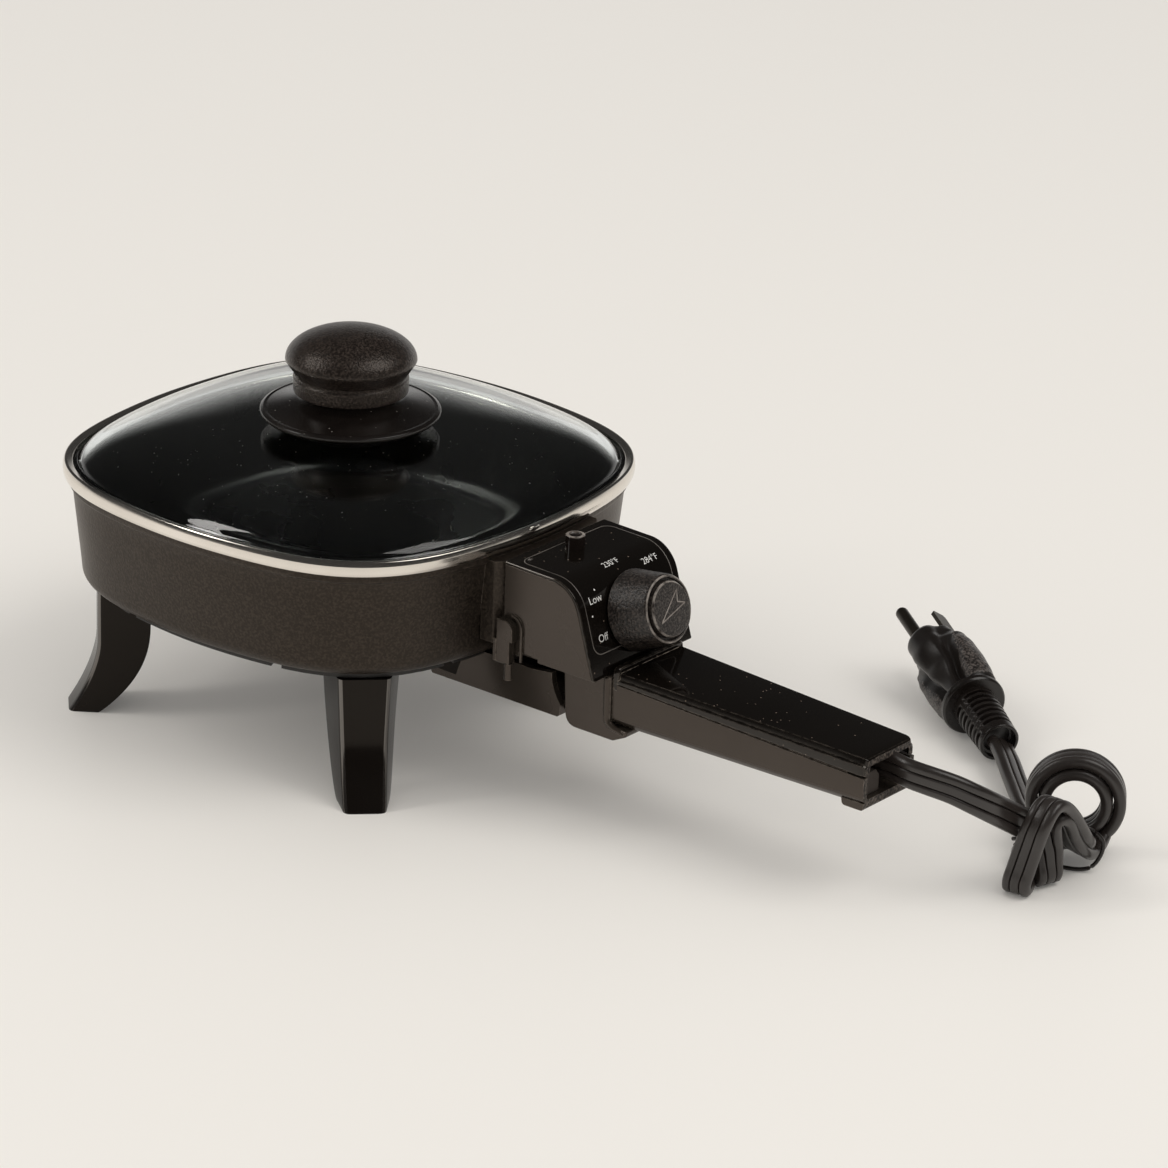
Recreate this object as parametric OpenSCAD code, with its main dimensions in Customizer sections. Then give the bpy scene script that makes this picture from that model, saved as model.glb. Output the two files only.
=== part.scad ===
/* [Plan outline] */
// How far a corner reaches, as a share of the half-width across the flats
corner_reach = 1.11; // [1.05:0.01:1.2]
// How much the outline tightens between a flat and a corner
side_flat = 0.012; // [0:0.002:0.03]

/* [Pan] */
// Half-width of the pan across its flats, just under the rim
pan_half = 89.4; // [84:0.2:94]
// Height of the flat underside above the floor
pan_base_z = 48.8; // [45:0.1:55]
// Depth from the underside to the seat that the lid rests on
pan_depth = 40.5; // [36:0.5:46]
// How much narrower each side is at the base than at the rim
wall_draft = 3; // [1:0.5:6]
// Thickness of the side wall
wall_t = 5; // [4:0.5:6]
// Thickness of the cooking floor
floor_t = 3.5; // [3:0.5:6]
// Radius of the rounded bottom edge
base_edge_r = 5.7; // [4:0.1:8]

/* [Lid] */
// How far the steel ring stands out beyond the pan on each side
ring_over = 3.1; // [2.4:0.1:5]
// Height of the steel ring's outer band
ring_h = 5.6; // [5:0.1:8]
// Thickness of the ring's sheet steel
ring_t = 0.6; // [0.4:0.1:0.9]
// Thickness of the tempered glass
glass_t = 3.6; // [3:0.1:4]
// Height of the glass dome above the ring's top edge
dome_rise = 12; // [8:0.5:18]

/* [Lid knob] */
// Radius of the domed cap
cap_r = 23.6; // [18:0.2:28]
// Height of the dome of the cap
cap_dome_h = 11.2; // [8:0.2:16]
// Height of the neck and its flare under the cap
neck_h = 11.8; // [9:0.2:16]
// Radius of the neck
neck_r = 20.8; // [14:0.2:22]
// Radius of the heat shield under the knob
skirt_r = 32.5; // [28:0.5:38]
// Height of the heat shield up to the neck
skirt_h = 13; // [10:0.5:18]

/* [Legs] */
// Outward flare of the foot beyond the upper leg
foot_flare = 10.4; // [4:0.2:16]
// Radial depth of the leg under the pan
leg_depth = 19; // [14:0.5:22]
// Radial depth of the foot on the floor
foot_depth = 10.8; // [8:0.2:14]
// Width of the outer face at the top
leg_face_w = 18; // [14:0.5:22]
// Width of the outer face at the foot
foot_face_w = 14.6; // [10:0.2:18]
// Wall of the hollow leg
leg_wall = 2.6; // [2:0.1:3.4]

/* [Control box] */
// Half-width of the control box
box_half = 27; // [24:0.5:32]
// Length of the box along the handle
box_len = 41.2; // [36:0.2:46]
// Height of the panel's rear edge above the box's floor
box_h = 34.1; // [30:0.1:40]
// Lean of the front face from upright, in degrees
face_lean = 17; // [10:0.2:26]
// Radius of the bend between the top and the front face
face_bend_r = 13; // [8:0.5:18]
// Thickness of the glossy panel
plate_t = 2; // [1.5:0.1:2.6]
// Wall of the box
box_wall = 2.2; // [1.8:0.1:2.8]
// Radius of the lamp lens
lens_r = 3.5; // [2.5:0.1:5]
// Height of the lamp lens above the panel
lens_h = 5; // [3:0.5:8]

/* [Dial] */
// Radius of the dial at its front
dial_r = 12.2; // [9:0.1:14]
// Radius of the dial at its base
dial_base_r = 14.5; // [12:0.1:16]
// Height of the dial's body
dial_h = 16.5; // [12:0.5:22]
// Radius of the grained disc on the dial
dial_cap_r = 10; // [7:0.1:11]
// Radius of the dial's shaft
dial_shaft_r = 3; // [2.5:0.1:3.5]

/* [Handle] */
// Distance from the pan's centre to the end of the handle
handle_end = 243.5; // [220:0.5:280]
// Half-width of the handle beside the control box
grip_start_half = 18.2; // [16:0.2:20]
// Half-width of the handle at its free end
grip_end_half = 14.2; // [13:0.2:16]
// Height of the lower face of the grip above the floor
grip_z = 36.2; // [34:0.1:38]
// Height of the grip at the control box
grip_start_h = 20.1; // [18:0.1:22]
// Height of the grip at the free end
grip_end_h = 17.5; // [16.5:0.1:19]
// Wall of the handle's two shells
shell_t = 2.2; // [1.8:0.1:2.6]
// Depth of the lip under the free end
heel_drop = 1.6; // [1:0.2:4]

/* [Cord and plug] */
// Width of the flat three-core cord
cord_w = 10.6; // [9:0.2:11]
// Thickness of the flat cord
cord_t = 4.3; // [3.6:0.1:4.6]
// Radius of the plug's rear flange
plug_r = 12; // [10:0.2:14]
// Length of the plug from the flange to its face
plug_len = 41.5; // [34:0.5:46]
// Length of the ribbed strain relief
relief_len = 24.4; // [20:0.2:36]
// Length of the earth pin
earth_len = 19; // [17:0.5:22]

/* [Hidden] */

// Clearances: between seated pieces, round a turning shaft, and round a screw
seat_gap = 0.3;
run_gap = 0.06;
screw_gap = 0.2;
thread_gap = 0.05;
// Steps round the plan outline, and on small round pieces
rim_steps = 80;
round_fn = 48;
screw_r = 1.6;
screw_head_r = 3.2;
screw_head_h = 1.8;

ring_half = pan_half + ring_over;

// The origin is under the middle of the object, so the pan's centre lies behind it
pan_x = -(handle_end - ring_half) / 2;

pan_rim_z = pan_base_z + pan_depth;
pan_bottom_half = pan_half - wall_draft;
rim_flange = 1.1;
rim_bead_h = 0.6;
pan_inner_r = 6;
ring_z = pan_rim_z + seat_gap;
ring_top_z = ring_z + ring_h;
ring_lip = 5.6;
ring_top_lip = 3.4;
glass_half = ring_half - ring_t - seat_gap;
glass_z = ring_z + ring_t + 0.05;
ledge_half = ring_half - ring_top_lip - 1.6;
dome_top_z = ring_top_z + dome_rise;
glass_hole_r = 4;
skirt_z = dome_top_z + 0.2;
neck_z = skirt_z + skirt_h;
cap_z = neck_z + neck_h;

leg_top_z = pan_base_z - 2.3;
leg_outer = pan_bottom_half * corner_reach - 5.2;
leg_dirs = [[-1, -1], [1, -1], [-1, 1], [1, 1]];
leg_steps = 9;
leg_side_flare = 4.8;
leg_screw_r = leg_outer - leg_depth / 2;
leg_roof = 4.4;

pad_front = ring_half + 2.6;
pad_half = box_half + 1;
box_x = pad_front + seat_gap;
box_z = 54.8;
box_front = box_x + box_len;
plate_half = box_half + 0.3;
plate_lap = 1.2;
crown_tilt = 1.2;
dial_up = 17.6;
pointer_turn = -62;

lug_x = box_x - 0.4;
lug_z = box_z + 5.8;
box_screw_z = box_z + 14;
box_screw_y = [-16, 16];
border_half = 23.8;
border_up = 8.2;
groove_w = 0.6;
groove_d = 0.5;

grip_x = box_front + 1;
collar_x = grip_x - 21.1;
collar_half = 19.4;
collar_z = 31.2;
collar_front = grip_x - 0.2;
collar_foot = grip_x + 7.4;

arm_x = pan_bottom_half - 32.4;
arm_end = collar_x - 3.5;
arm_z = collar_z + 0.4;
arm_top = pan_base_z - 2.4;
arm_half = 16.6;
arm_wall = 2.4;
stud_x = [pan_bottom_half - 20.4, pan_bottom_half - 2.4];
stud_r = 4.5;
tongue_screw_x = arm_end - 12;
tongue_screw_y = [-8, 8];
part_start_z = grip_z + 16.3;
part_end_z = grip_z + 11.3;
lip_up = 1.9;

// ---------- shared shapes ----------

// Everything is drawn round the pan's centre and then moved over the origin
module placed() {
    translate([pan_x, 0, 0]) children();
}

// Polar radius of the rounded-square outline; small outlines are round
function rim_r(half, turn) =
    let (squared = min(1, half / 60), bulge = (corner_reach - 1) * squared)
    half * (1 + bulge * (1 - cos(4 * turn)) / 2 - side_flat * squared * (1 - cos(8 * turn)) / 2);

function rim_loop(half, z) = [
    for (i = [0:rim_steps - 1])
        let (turn = 360 * i / rim_steps, r = rim_r(half, turn))
        [r * cos(turn), r * sin(turn), z]
];

// Points on an arc from one angle to another, as [across, up]
function arc(centre, r, from, to, steps) = [
    for (i = [0:steps])
        let (a = from + (to - from) * i / steps)
        [centre[0] + r * cos(a), centre[1] + r * sin(a)]
];

// A skin over loops of points, each loop anticlockwise and the outside rising first
module skin(loops, closed = false) {
    n = len(loops[0]);
    m = len(loops);
    sides = [
        for (j = [0:closed ? m - 1 : m - 2], i = [0:n - 1])
            let (
                next = (i + 1) % n,
                up = (j + 1) % m,
                a = j * n + i, b = j * n + next, c = up * n + next, d = up * n + i
            )
            each [[a, c, b], [a, d, c]]
    ];
    caps = closed ? [] : [
        [for (i = [0:n - 1]) i],
        [for (i = [n - 1:-1:0]) (m - 1) * n + i]
    ];
    polyhedron(points = [for (loop = loops) each loop], faces = concat(sides, caps), convexity = 10);
}

// A solid whose profile, as [half-width, height], runs round the plan outline
module rim_skin(profile, closed = false) {
    skin([for (p = profile) rim_loop(p[0], p[1])], closed);
}

// Lays a profile drawn as [along, up] upright along the handle, and gives it a width
module upright(from_y, to_y) {
    translate([0, to_y, 0]) rotate([90, 0, 0]) linear_extrude(height = to_y - from_y) children();
}

module screw(length) {
    cylinder(r = screw_r, h = length, $fn = 24);
    translate([0, 0, -screw_head_h]) cylinder(r = screw_head_r, h = screw_head_h + 0.01, $fn = 32);
}

// ---------- pan, element and legs ----------

inner_half = pan_half - wall_t;
inner_floor_z = pan_base_z + floor_t;

pan_profile = concat(
    arc([pan_bottom_half - base_edge_r, pan_base_z + base_edge_r], base_edge_r, -90, -4, 6),
    [
        [pan_half, pan_rim_z - 4],
        [pan_half + rim_flange, pan_rim_z - 2.8],
        [pan_half + rim_flange, pan_rim_z - 0.4],
        [pan_half + rim_flange - 0.4, pan_rim_z],
        [ring_half - ring_lip - ring_t - seat_gap, pan_rim_z],
        [ring_half - ring_lip - ring_t - seat_gap - 0.2, pan_rim_z + rim_bead_h],
        [inner_half, pan_rim_z + rim_bead_h]
    ],
    arc(
        [inner_half - wall_draft / 2 - pan_inner_r, inner_floor_z + pan_inner_r],
        pan_inner_r, -2, -90, 6
    )
);

// The cast pad on the wall that the control box is screwed to
module wall_pad() {
    pad_z = box_z + 2.4;
    pad_top = pan_rim_z - 1.6;
    difference() {
        translate([0, 0, pad_z]) linear_extrude(height = pad_top - pad_z) polygon([
            [pan_half - 14, -pad_half], [pad_front - 4, -pad_half], [pad_front, -pad_half + 4],
            [pad_front, pad_half - 4], [pad_front - 4, pad_half], [pan_half - 14, pad_half]
        ]);
        // Only the part outside the pan's wall is left
        rim_skin([
            [pan_bottom_half - 1.5, pan_base_z],
            [pan_half - 1.5, pan_rim_z]
        ]);
    }
}

// The casting: dish, pad, two studs for the support arm, and its screw holes
module pan() {
    color("#3b332e") placed() difference() {
        union() {
            rim_skin(pan_profile);
            wall_pad();
            for (x = stud_x) translate([x, 0, arm_z + arm_wall + 0.05])
                cylinder(r = stud_r, h = pan_base_z + 1 - arm_z - arm_wall, $fn = 32);
        }
        for (x = stud_x) translate([x, 0, arm_z]) cylinder(r = screw_r + thread_gap, h = 13, $fn = 24);
        for (d = leg_dirs) translate([d[0], d[1], 0] * leg_screw_r * sqrt(0.5) + [0, 0, pan_base_z - 1])
            cylinder(r = screw_r + thread_gap, h = 3.2, $fn = 24);
        for (y = box_screw_y) translate([pad_front + 1, y, box_screw_z]) rotate([0, -90, 0])
            cylinder(r = screw_r + thread_gap, h = 6.5, $fn = 24);
    }
}

element_r = 3.2;
element_ring_r = 56;
element_z = pan_base_z - element_r - 0.1;

// The sheathed element lies against the underside and turns out to its terminals
module heating_element() {
    end_turn = 9;
    end_y = element_ring_r * sin(end_turn);
    end_x = element_ring_r * cos(end_turn);
    color("#6d6a66") placed() translate([0, 0, element_z]) {
        rotate([0, 0, end_turn]) rotate_extrude(angle = 360 - 2 * end_turn, $fn = 96)
            translate([element_ring_r, 0]) circle(r = element_r, $fn = round_fn);
        for (side = [-1, 1]) translate([end_x - 1, side * end_y, 0]) {
            rotate([0, 90, 0]) cylinder(r = element_r, h = 24, $fn = round_fn);
            rotate([0, 90, 0]) cylinder(r = 1.2, h = 32, $fn = 24);
        }
    }
}

ring_plate_t = 2;
ring_plate_half = pan_bottom_half - base_edge_r - 0.3;
ring_plate_in = ring_plate_half - 17;

// The black frame under the pan that the legs are screwed to
module base_ring() {
    z0 = pan_base_z - ring_plate_t - 0.1;
    color("#1b1a1a") placed() difference() {
        rim_skin([
            [ring_plate_half, z0], [ring_plate_half, z0 + ring_plate_t],
            [ring_plate_in, z0 + ring_plate_t], [ring_plate_in, z0]
        ], closed = true);
        for (turn = [24, 66, 114, 156, 204, 246, 294, 336]) rotate([0, 0, turn])
            translate([ring_plate_half - 1, -2, z0 - 1]) cube([16, 4, ring_plate_t + 2]);
        for (d = leg_dirs) translate([d[0], d[1], 0] * leg_screw_r * sqrt(0.5) + [0, 0, z0 - 1])
            cylinder(r = screw_r + screw_gap, h = ring_plate_t + 2, $fn = 24);
        // Notches that clear the element's cold ends
        translate([ring_plate_in - 4, -18, z0 - 1]) cube([24, 36, ring_plate_t + 2]);
    }
}

function leg_out(z) = leg_outer + foot_flare * pow(max(0, 1 - z / 27), 1.7);
function leg_in(z) = let (
        at_top = leg_outer - leg_depth,
        at_foot = leg_out(0) - foot_depth
    )
    at_top + (at_foot - at_top) * pow(max(0, 1 - z / 36), 2.35);

// One level of the leg: a trapezium, wider behind, with softened front corners
function leg_loop(z, wall) =
    let (
        up = z / leg_top_z,
        out = leg_out(max(z, 0)) - wall,
        in = leg_in(max(z, 0)) - (wall > 0 ? 1 : 0),
        face = (foot_face_w + (leg_face_w - foot_face_w) * up) / 2 - wall,
        back = face + 1.6 + (leg_side_flare - 1.6) * pow(max(up, 0), 0.42)
    )
    [
        [in, back, z], [in, -back, z], [out - 2, -face - 0.5, z], [out - 0.5, -face + 0.7, z],
        [out, -face + 2.2, z], [out + 0.15, 0, z],
        [out, face - 2.2, z], [out - 0.5, face - 0.7, z], [out - 2, face + 0.5, z]
    ];

// A hollow sabre leg, open behind, with a flat top that the screw goes through
module leg(dir) {
    levels = [for (i = [0:leg_steps]) leg_top_z * pow(i / leg_steps, 1.25)];
    cut = [for (i = [0:leg_steps]) -1 + (leg_top_z - leg_roof + 1) * pow(i / leg_steps, 1.25)];
    color("#141313") placed() rotate([0, 0, atan2(dir[1], dir[0])]) difference() {
        skin([for (z = levels) leg_loop(z, 0)]);
        skin([for (z = cut) leg_loop(z, leg_wall)]);
        translate([leg_screw_r, 0, leg_top_z - 5])
            cylinder(r = screw_r + screw_gap, h = 6, $fn = 24);
    }
}

module leg_front_left() { leg(leg_dirs[0]); }
module leg_front_right() { leg(leg_dirs[1]); }
module leg_back_left() { leg(leg_dirs[2]); }
module leg_back_right() { leg(leg_dirs[3]); }

module leg_screws() {
    color("#8d8f92") placed() for (d = leg_dirs)
        translate([d[0], d[1], 0] * leg_screw_r * sqrt(0.5) + [0, 0, leg_top_z - leg_roof - 0.02])
            screw(pan_base_z - leg_top_z + leg_roof + 1.8);
}

// The channel under the pan that carries the handle: its floor runs on past its sides
module support_arm() {
    side = concat(
        [[arm_x + 16, arm_top], [arm_x + 11.5, arm_z + arm_wall], [arm_x, arm_z + arm_wall]],
        [[arm_x, arm_z + 0.6], [arm_x + 0.6, arm_z], [arm_end - 1, arm_z], [arm_end, arm_z + 0.8]],
        arc([arm_end + 12.6, arm_top + 1], 16.5, 222, 180, 6),
        [[arm_end - 12, arm_top]]
    );
    inside = arm_half - arm_wall;
    color("#15110f") placed() difference() {
        upright(-arm_half, arm_half) polygon(side);
        translate([arm_x - 1, -inside, arm_z + arm_wall]) cube([arm_end, 2 * inside, 20]);
        for (x = stud_x) translate([x, 0, arm_z - 1])
            cylinder(r = screw_r + screw_gap, h = arm_wall + 2, $fn = 24);
        for (y = tongue_screw_y) translate([tongue_screw_x, y, arm_z - 1])
            cylinder(r = screw_r + screw_gap, h = arm_wall + 2, $fn = 24);
    }
}

// Two screws go up into the pan's studs, and two hold the collar's tongue in the channel
module arm_screws() {
    color("#8d8f92") placed() {
        for (x = stud_x) translate([x, 0, arm_z - 0.02]) screw(arm_wall + 9);
        for (y = tongue_screw_y) translate([tongue_screw_x, y, arm_z - 0.02]) screw(arm_wall + 3);
    }
}

// Two screws that hold the control box to the pad
module box_screws() {
    color("#8d8f92") placed() for (y = box_screw_y)
        translate([box_x + box_wall + 0.02, y, box_screw_z]) rotate([0, -90, 0]) screw(box_wall + 5);
}

// ---------- lid ----------

function dome_z(half) =
    glass_z + glass_t + (dome_top_z - glass_z - glass_t)
        * pow(max(0, 1 - pow(half / ledge_half, 3)), 0.55);

dome_halves = [for (share = [0.999, 0.985, 0.95, 0.88, 0.76, 0.58, 0.34]) ledge_half * share];

module lid_glass() {
    top = [for (h = dome_halves) [h, dome_z(h)]];
    under = [for (i = [len(dome_halves) - 1:-1:0]) [
        dome_halves[i] - glass_t * 0.55 * dome_halves[i] / ledge_half,
        max(glass_z, dome_z(dome_halves[i]) - glass_t)
    ]];
    color([0.75, 0.85, 0.8, 0.35]) placed() rim_skin(concat(
        [[glass_half - 0.8, glass_z], [glass_half, glass_z + 0.9], [glass_half, glass_z + glass_t - 0.9]],
        [[glass_half - 0.8, glass_z + glass_t], [ledge_half + 0.6, glass_z + glass_t]],
        top,
        [[glass_hole_r, dome_top_z], [glass_hole_r, dome_top_z - glass_t]],
        under
    ), closed = true);
}

// A folded steel channel that grips the edge of the glass
module lid_ring() {
    lip_z = glass_z + glass_t + 0.1;
    color("#d8d0c4") placed() rim_skin([
        [ring_half - 0.5, ring_z], [ring_half - 0.1, ring_z + 0.4],
        [ring_half, ring_top_z - 1.2], [ring_half - 0.35, ring_top_z - 0.35],
        [ring_half - 1.2, ring_top_z],
        [ring_half - ring_top_lip + 0.4, lip_z + ring_t + 0.3], [ring_half - ring_top_lip, lip_z + 0.1],
        [ring_half - ring_top_lip + 0.5, lip_z],
        [ring_half - ring_t - 0.5, lip_z + 0.1], [ring_half - ring_t, lip_z - 0.3],
        [ring_half - ring_t, ring_z + ring_t],
        [ring_half - ring_lip, ring_z + ring_t], [ring_half - ring_lip, ring_z]
    ], closed = true);
}

// The heat shield between the glass and the knob, hollow underneath
module knob_skirt() {
    rim_z = skirt_z + 4.4;
    color("#181513") placed() rotate_extrude($fn = 96) polygon([
        [2.2, skirt_z], [9, skirt_z], [9, skirt_z + 6], [20, skirt_z + 4.5], [21.5, skirt_z],
        [24, skirt_z], [27, skirt_z + 2], [skirt_r - 0.6, rim_z], [skirt_r, rim_z + 0.4],
        [skirt_r, rim_z + 1.4], [skirt_r - 1.2, rim_z + 2.4], [skirt_r - 2, rim_z + 2.4],
        [neck_r - 3, skirt_z + skirt_h - 3.4], [neck_r - 5, neck_z - 0.4], [2.2, neck_z - 0.4]
    ]);
}

// The mushroom knob: neck, flared underside and elliptical dome
module lid_knob() {
    dome = [for (a = [0:9:81]) [cap_r * cos(a), cap_z + cap_dome_h * sin(a)]];
    color("#1a1715") placed() rotate_extrude($fn = 96) polygon(concat(
        [[0, neck_z + 9], [2.2, neck_z + 9], [2.2, neck_z], [neck_r - 0.4, neck_z]],
        [[neck_r, neck_z + 0.5], [neck_r + 0.1, neck_z + neck_h * 0.46]],
        [[neck_r + 0.5, cap_z - 5], [neck_r + 1.2, cap_z - 3]],
        [[cap_r - 0.9, cap_z - 0.7]],
        dome,
        [[0, cap_z + cap_dome_h]]
    ));
}

module knob_washer() {
    color("#2a2a2a") placed() translate([0, 0, dome_top_z - glass_t - 1.7]) difference() {
        cylinder(r = 11, h = 1.6, $fn = round_fn);
        translate([0, 0, -1]) cylinder(r = screw_r + screw_gap, h = 4, $fn = 24);
    }
}

module knob_screw() {
    color("#b9bbbd") placed() translate([0, 0, dome_top_z - glass_t - 1.72])
        screw(neck_z + 7 - dome_top_z + glass_t);
}

// ---------- control box ----------

// Where two lines meet, each given by its normal and its distance from the origin
function meet(n1, d1, n2, d2) =
    let (det = n1[0] * n2[1] - n1[1] * n2[0])
    [(d1 * n2[1] - d2 * n1[1]) / det, (n1[0] * d2 - n2[0] * d1) / det];

// Side profile of the panel, set in by off: near-flat top, a bend, and the leaning face
face_n2 = [cos(face_lean), sin(face_lean)];
crown_n = [sin(crown_tilt), cos(crown_tilt)];
face_d = face_n2 * [box_front, box_z];
crown_d = crown_n * [box_x, box_z + box_h];
bend_at = meet(face_n2, face_d - face_bend_r, crown_n, crown_d - face_bend_r);

function box_line(off) = concat(
    [[box_x, (crown_d - off - crown_n[0] * box_x) / crown_n[1]]],
    arc(bend_at, face_bend_r - off, 90 - crown_tilt, face_lean, 10),
    [[box_front - off / face_n2[0], box_z]]
);

// Where the dial's axis meets the leaning face
dial_z = box_z + dial_up;
dial_foot = [box_front - dial_up * tan(face_lean), 0, dial_z];

module on_dial_axis() {
    placed() translate(dial_foot) rotate([0, 90 - face_lean, 0]) children();
}

lens_at = [box_x + 9.2, 0];
lens_z = box_z + box_h - 0.3;

module control_box() {
    outer = concat(box_line(plate_t + 0.1), [[box_x, box_z]]);
    inner = box_line(plate_t + 0.1 + box_wall);
    color("#443c36") placed() {
        difference() {
            upright(-box_half, box_half) polygon(outer);
            upright(-box_half + box_wall, box_half - box_wall) polygon(concat(
                [[box_x + box_wall, box_z + box_wall], [box_x + box_wall, inner[0][1]]],
                [for (i = [1:len(inner) - 2]) inner[i]],
                [[inner[len(inner) - 1][0] - box_wall * tan(face_lean), box_z + box_wall]]
            ));
            // Openings behind the panel for the dial and for the lamp
            translate(dial_foot) rotate([0, 90 - face_lean, 0]) translate([0, 0, -8])
                cylinder(r = 8, h = 9, $fn = round_fn);
            translate([lens_at[0], 0, lens_z - 8]) cylinder(r = lens_r + 1.4, h = 14, $fn = 32);
            for (y = box_screw_y) translate([box_x - 1, y, box_screw_z]) rotate([0, 90, 0])
                cylinder(r = screw_r + screw_gap, h = box_wall + 2, $fn = 24);
            // Way through the floor for the leads, and a notch in each side's lower edge
            translate([collar_x + 4, -9, box_z - 1]) cube([12, 18, box_wall + 2]);
            for (s = [-1, 1]) translate([box_x + 7, s * box_half - 2, box_z - 1]) cube([8.5, 4, 2.6]);
        }
        for (s = [-1, 1]) scale([1, s, 1]) {
            // Side panels, which the panel laps
            upright(box_half - box_wall, box_half)
                polygon(concat(box_line(plate_lap + 0.05), [[box_x, box_z + 2]]));
            // The guide that hooks over the lug
            upright(box_half - 0.1, box_half + 1) polygon(concat(
                [[lug_x + 9.4, lug_z - 7.5]], arc([lug_x + 4.4, lug_z + 4.5], 5, 0, 90, 5),
                arc([lug_x + 4.4, lug_z + 4.5], 4, 90, 0, 5), [[lug_x + 8.4, lug_z - 7.5]]
            ));
        }
    }
}

module face_plate() {
    face = box_line(0);
    lap = box_line(plate_lap);
    back = box_line(plate_t);
    n = len(face) - 1;
    inset = box_half - box_wall - 0.05;
    color("#0c0b0b") placed() difference() {
        union() {
            upright(-plate_half, plate_half)
                polygon(concat(face, [for (i = [n:-1:0]) lap[i]]));
            upright(-inset, inset)
                polygon(concat(box_line(plate_lap - 0.1), [for (i = [n:-1:0]) back[i]]));
        }
        // A fine groove borders the panel
        difference() {
            upright(-border_half, border_half) polygon(concat(
                [[box_x + 3, face[0][1] + 5]],
                [[box_x + 3, face[0][1] - groove_d]],
                [for (i = [1:n - 1]) box_line(groove_d)[i]],
                [[face[n][0] - groove_d / face_n2[0] - border_up * tan(face_lean), box_z + border_up]],
                [[face[n][0] + 9, box_z + border_up], [face[n][0] + 9, face[0][1] + 5]]
            ));
            upright(-border_half + groove_w, border_half - groove_w) polygon([
                [box_x + 3 + groove_w, box_z], [box_x + 3 + groove_w, face[0][1] + 6],
                [face[n][0] + 10, face[0][1] + 6], [face[n][0] + 10, box_z + border_up + groove_w],
                [face[n][0] - 7, box_z + border_up + groove_w], [face[n][0] - 7, box_z]
            ]);
        }
        translate(dial_foot) rotate([0, 90 - face_lean, 0]) translate([0, 0, -6])
            cylinder(r = dial_shaft_r + 1, h = 9, $fn = round_fn);
        translate([lens_at[0], 0, lens_z - 6]) cylinder(r = lens_r + 0.05, h = 14, $fn = 32);
    }
}

// A hooked lug on each side holds the box against the pan's pad
module side_lugs() {
    color("#4a433c") placed() for (s = [-1, 1]) scale([1, s, 1])
        upright(box_half + 0.05, box_half + 3.5) {
            polygon(concat(
                [[lug_x, lug_z], [lug_x + 7, lug_z]],
                arc([lug_x + 3.8, lug_z + 4.5], 3.2, 0, 90, 6),
                [[lug_x, lug_z + 7.8]]
            ));
            translate([lug_x - 1.6, lug_z - 8.4]) square([7.4, 8.5]);
        }
}

module lug_pins() {
    color("#5b554e") placed() for (s = [-1, 1])
        translate([lug_x + 4.6, s * (box_half + 2), lug_z - 14.4])
            cylinder(r = 1.55, h = 5.95, $fn = 32);
}

module lamp_lens() {
    color("#241010") placed() translate([lens_at[0], 0, lens_z - 3]) {
        cylinder(r = lens_r, h = lens_h + 3, $fn = round_fn);
        translate([0, 0, lens_h + 3]) rotate_extrude($fn = round_fn)
            polygon([[0, -0.1], [lens_r, -0.1], [lens_r, 0], [lens_r - 0.5, 0.5], [0, 0.8]]);
        translate([0, 0, -1.4]) cylinder(r = lens_r + 1, h = 1.4, $fn = round_fn);
    }
}

// The switch body behind the panel that the dial's shaft turns in
module thermostat() {
    color("#d9d3c4") on_dial_axis() translate([0, 0, -plate_t - box_wall - 0.4]) difference() {
        union() {
            translate([-8, -10, -12]) cube([16, 20, 12]);
            cylinder(r = 6.5, h = 2.2, $fn = round_fn);
        }
        translate([0, 0, -13]) cylinder(r = dial_shaft_r + run_gap, h = 20, $fn = round_fn);
    }
}

// The neck that joins the box, the support arm and the handle
module collar() {
    wall = 2.4;
    top = box_z - 0.05;
    side = [
        [collar_x + 1.2, collar_z + 1.4], [collar_x + 3.2, collar_z],
        [collar_front - 2, collar_z], [collar_front, collar_z + 1],
        [collar_foot, grip_z - 0.05], [grip_x - 0.05, grip_z - 0.05],
        [grip_x - 0.05, top], [collar_x, top]
    ];
    color("#3a332e") placed() difference() {
        union() {
            upright(-collar_half, collar_half) polygon(side);
            // The raised bead in front
            upright(-collar_half - 0.8, collar_half + 0.8) polygon([
                [grip_x - 5, collar_z], [collar_front - 2, collar_z], [collar_front, collar_z + 1],
                [collar_front, top], [grip_x - 5, top]
            ]);
            // The tongue that goes into the support arm
            translate([arm_end - 18, -arm_half + arm_wall + 0.3, arm_z + arm_wall + 0.05])
                cube([collar_x - arm_end + 20, 2 * (arm_half - arm_wall) - 0.6, 3]);
        }
        translate([collar_x + wall, -collar_half + wall, collar_z + wall])
            cube([grip_x - collar_x - 2 * wall, 2 * (collar_half - wall), 40]);
        translate([grip_x - 6, -8, grip_z + shell_t + 1]) cube([12, 16, 8]);
        for (y = tongue_screw_y) translate([tongue_screw_x, y, arm_z])
            cylinder(r = screw_r + thread_gap, h = 12, $fn = 24);
        // The sloping foot follows the grip's width
        for (s = [-1, 1]) scale([1, s, 1])
            translate([grip_x + 0.2, grip_start_half - 0.4, collar_z - 1]) cube([20, 9, 40]);
    }
}

// ---------- handle ----------

function grip_half(x) =
    grip_start_half + (grip_end_half - grip_start_half) * (x - grip_x) / (handle_end - grip_x);
function part_z(x) =
    part_start_z + (part_end_z - part_start_z) * (x - grip_x) / (handle_end - grip_x);
function grip_top(x) =
    grip_z + grip_start_h + (grip_end_h - grip_start_h) * (x - grip_x) / (handle_end - grip_x);

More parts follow.
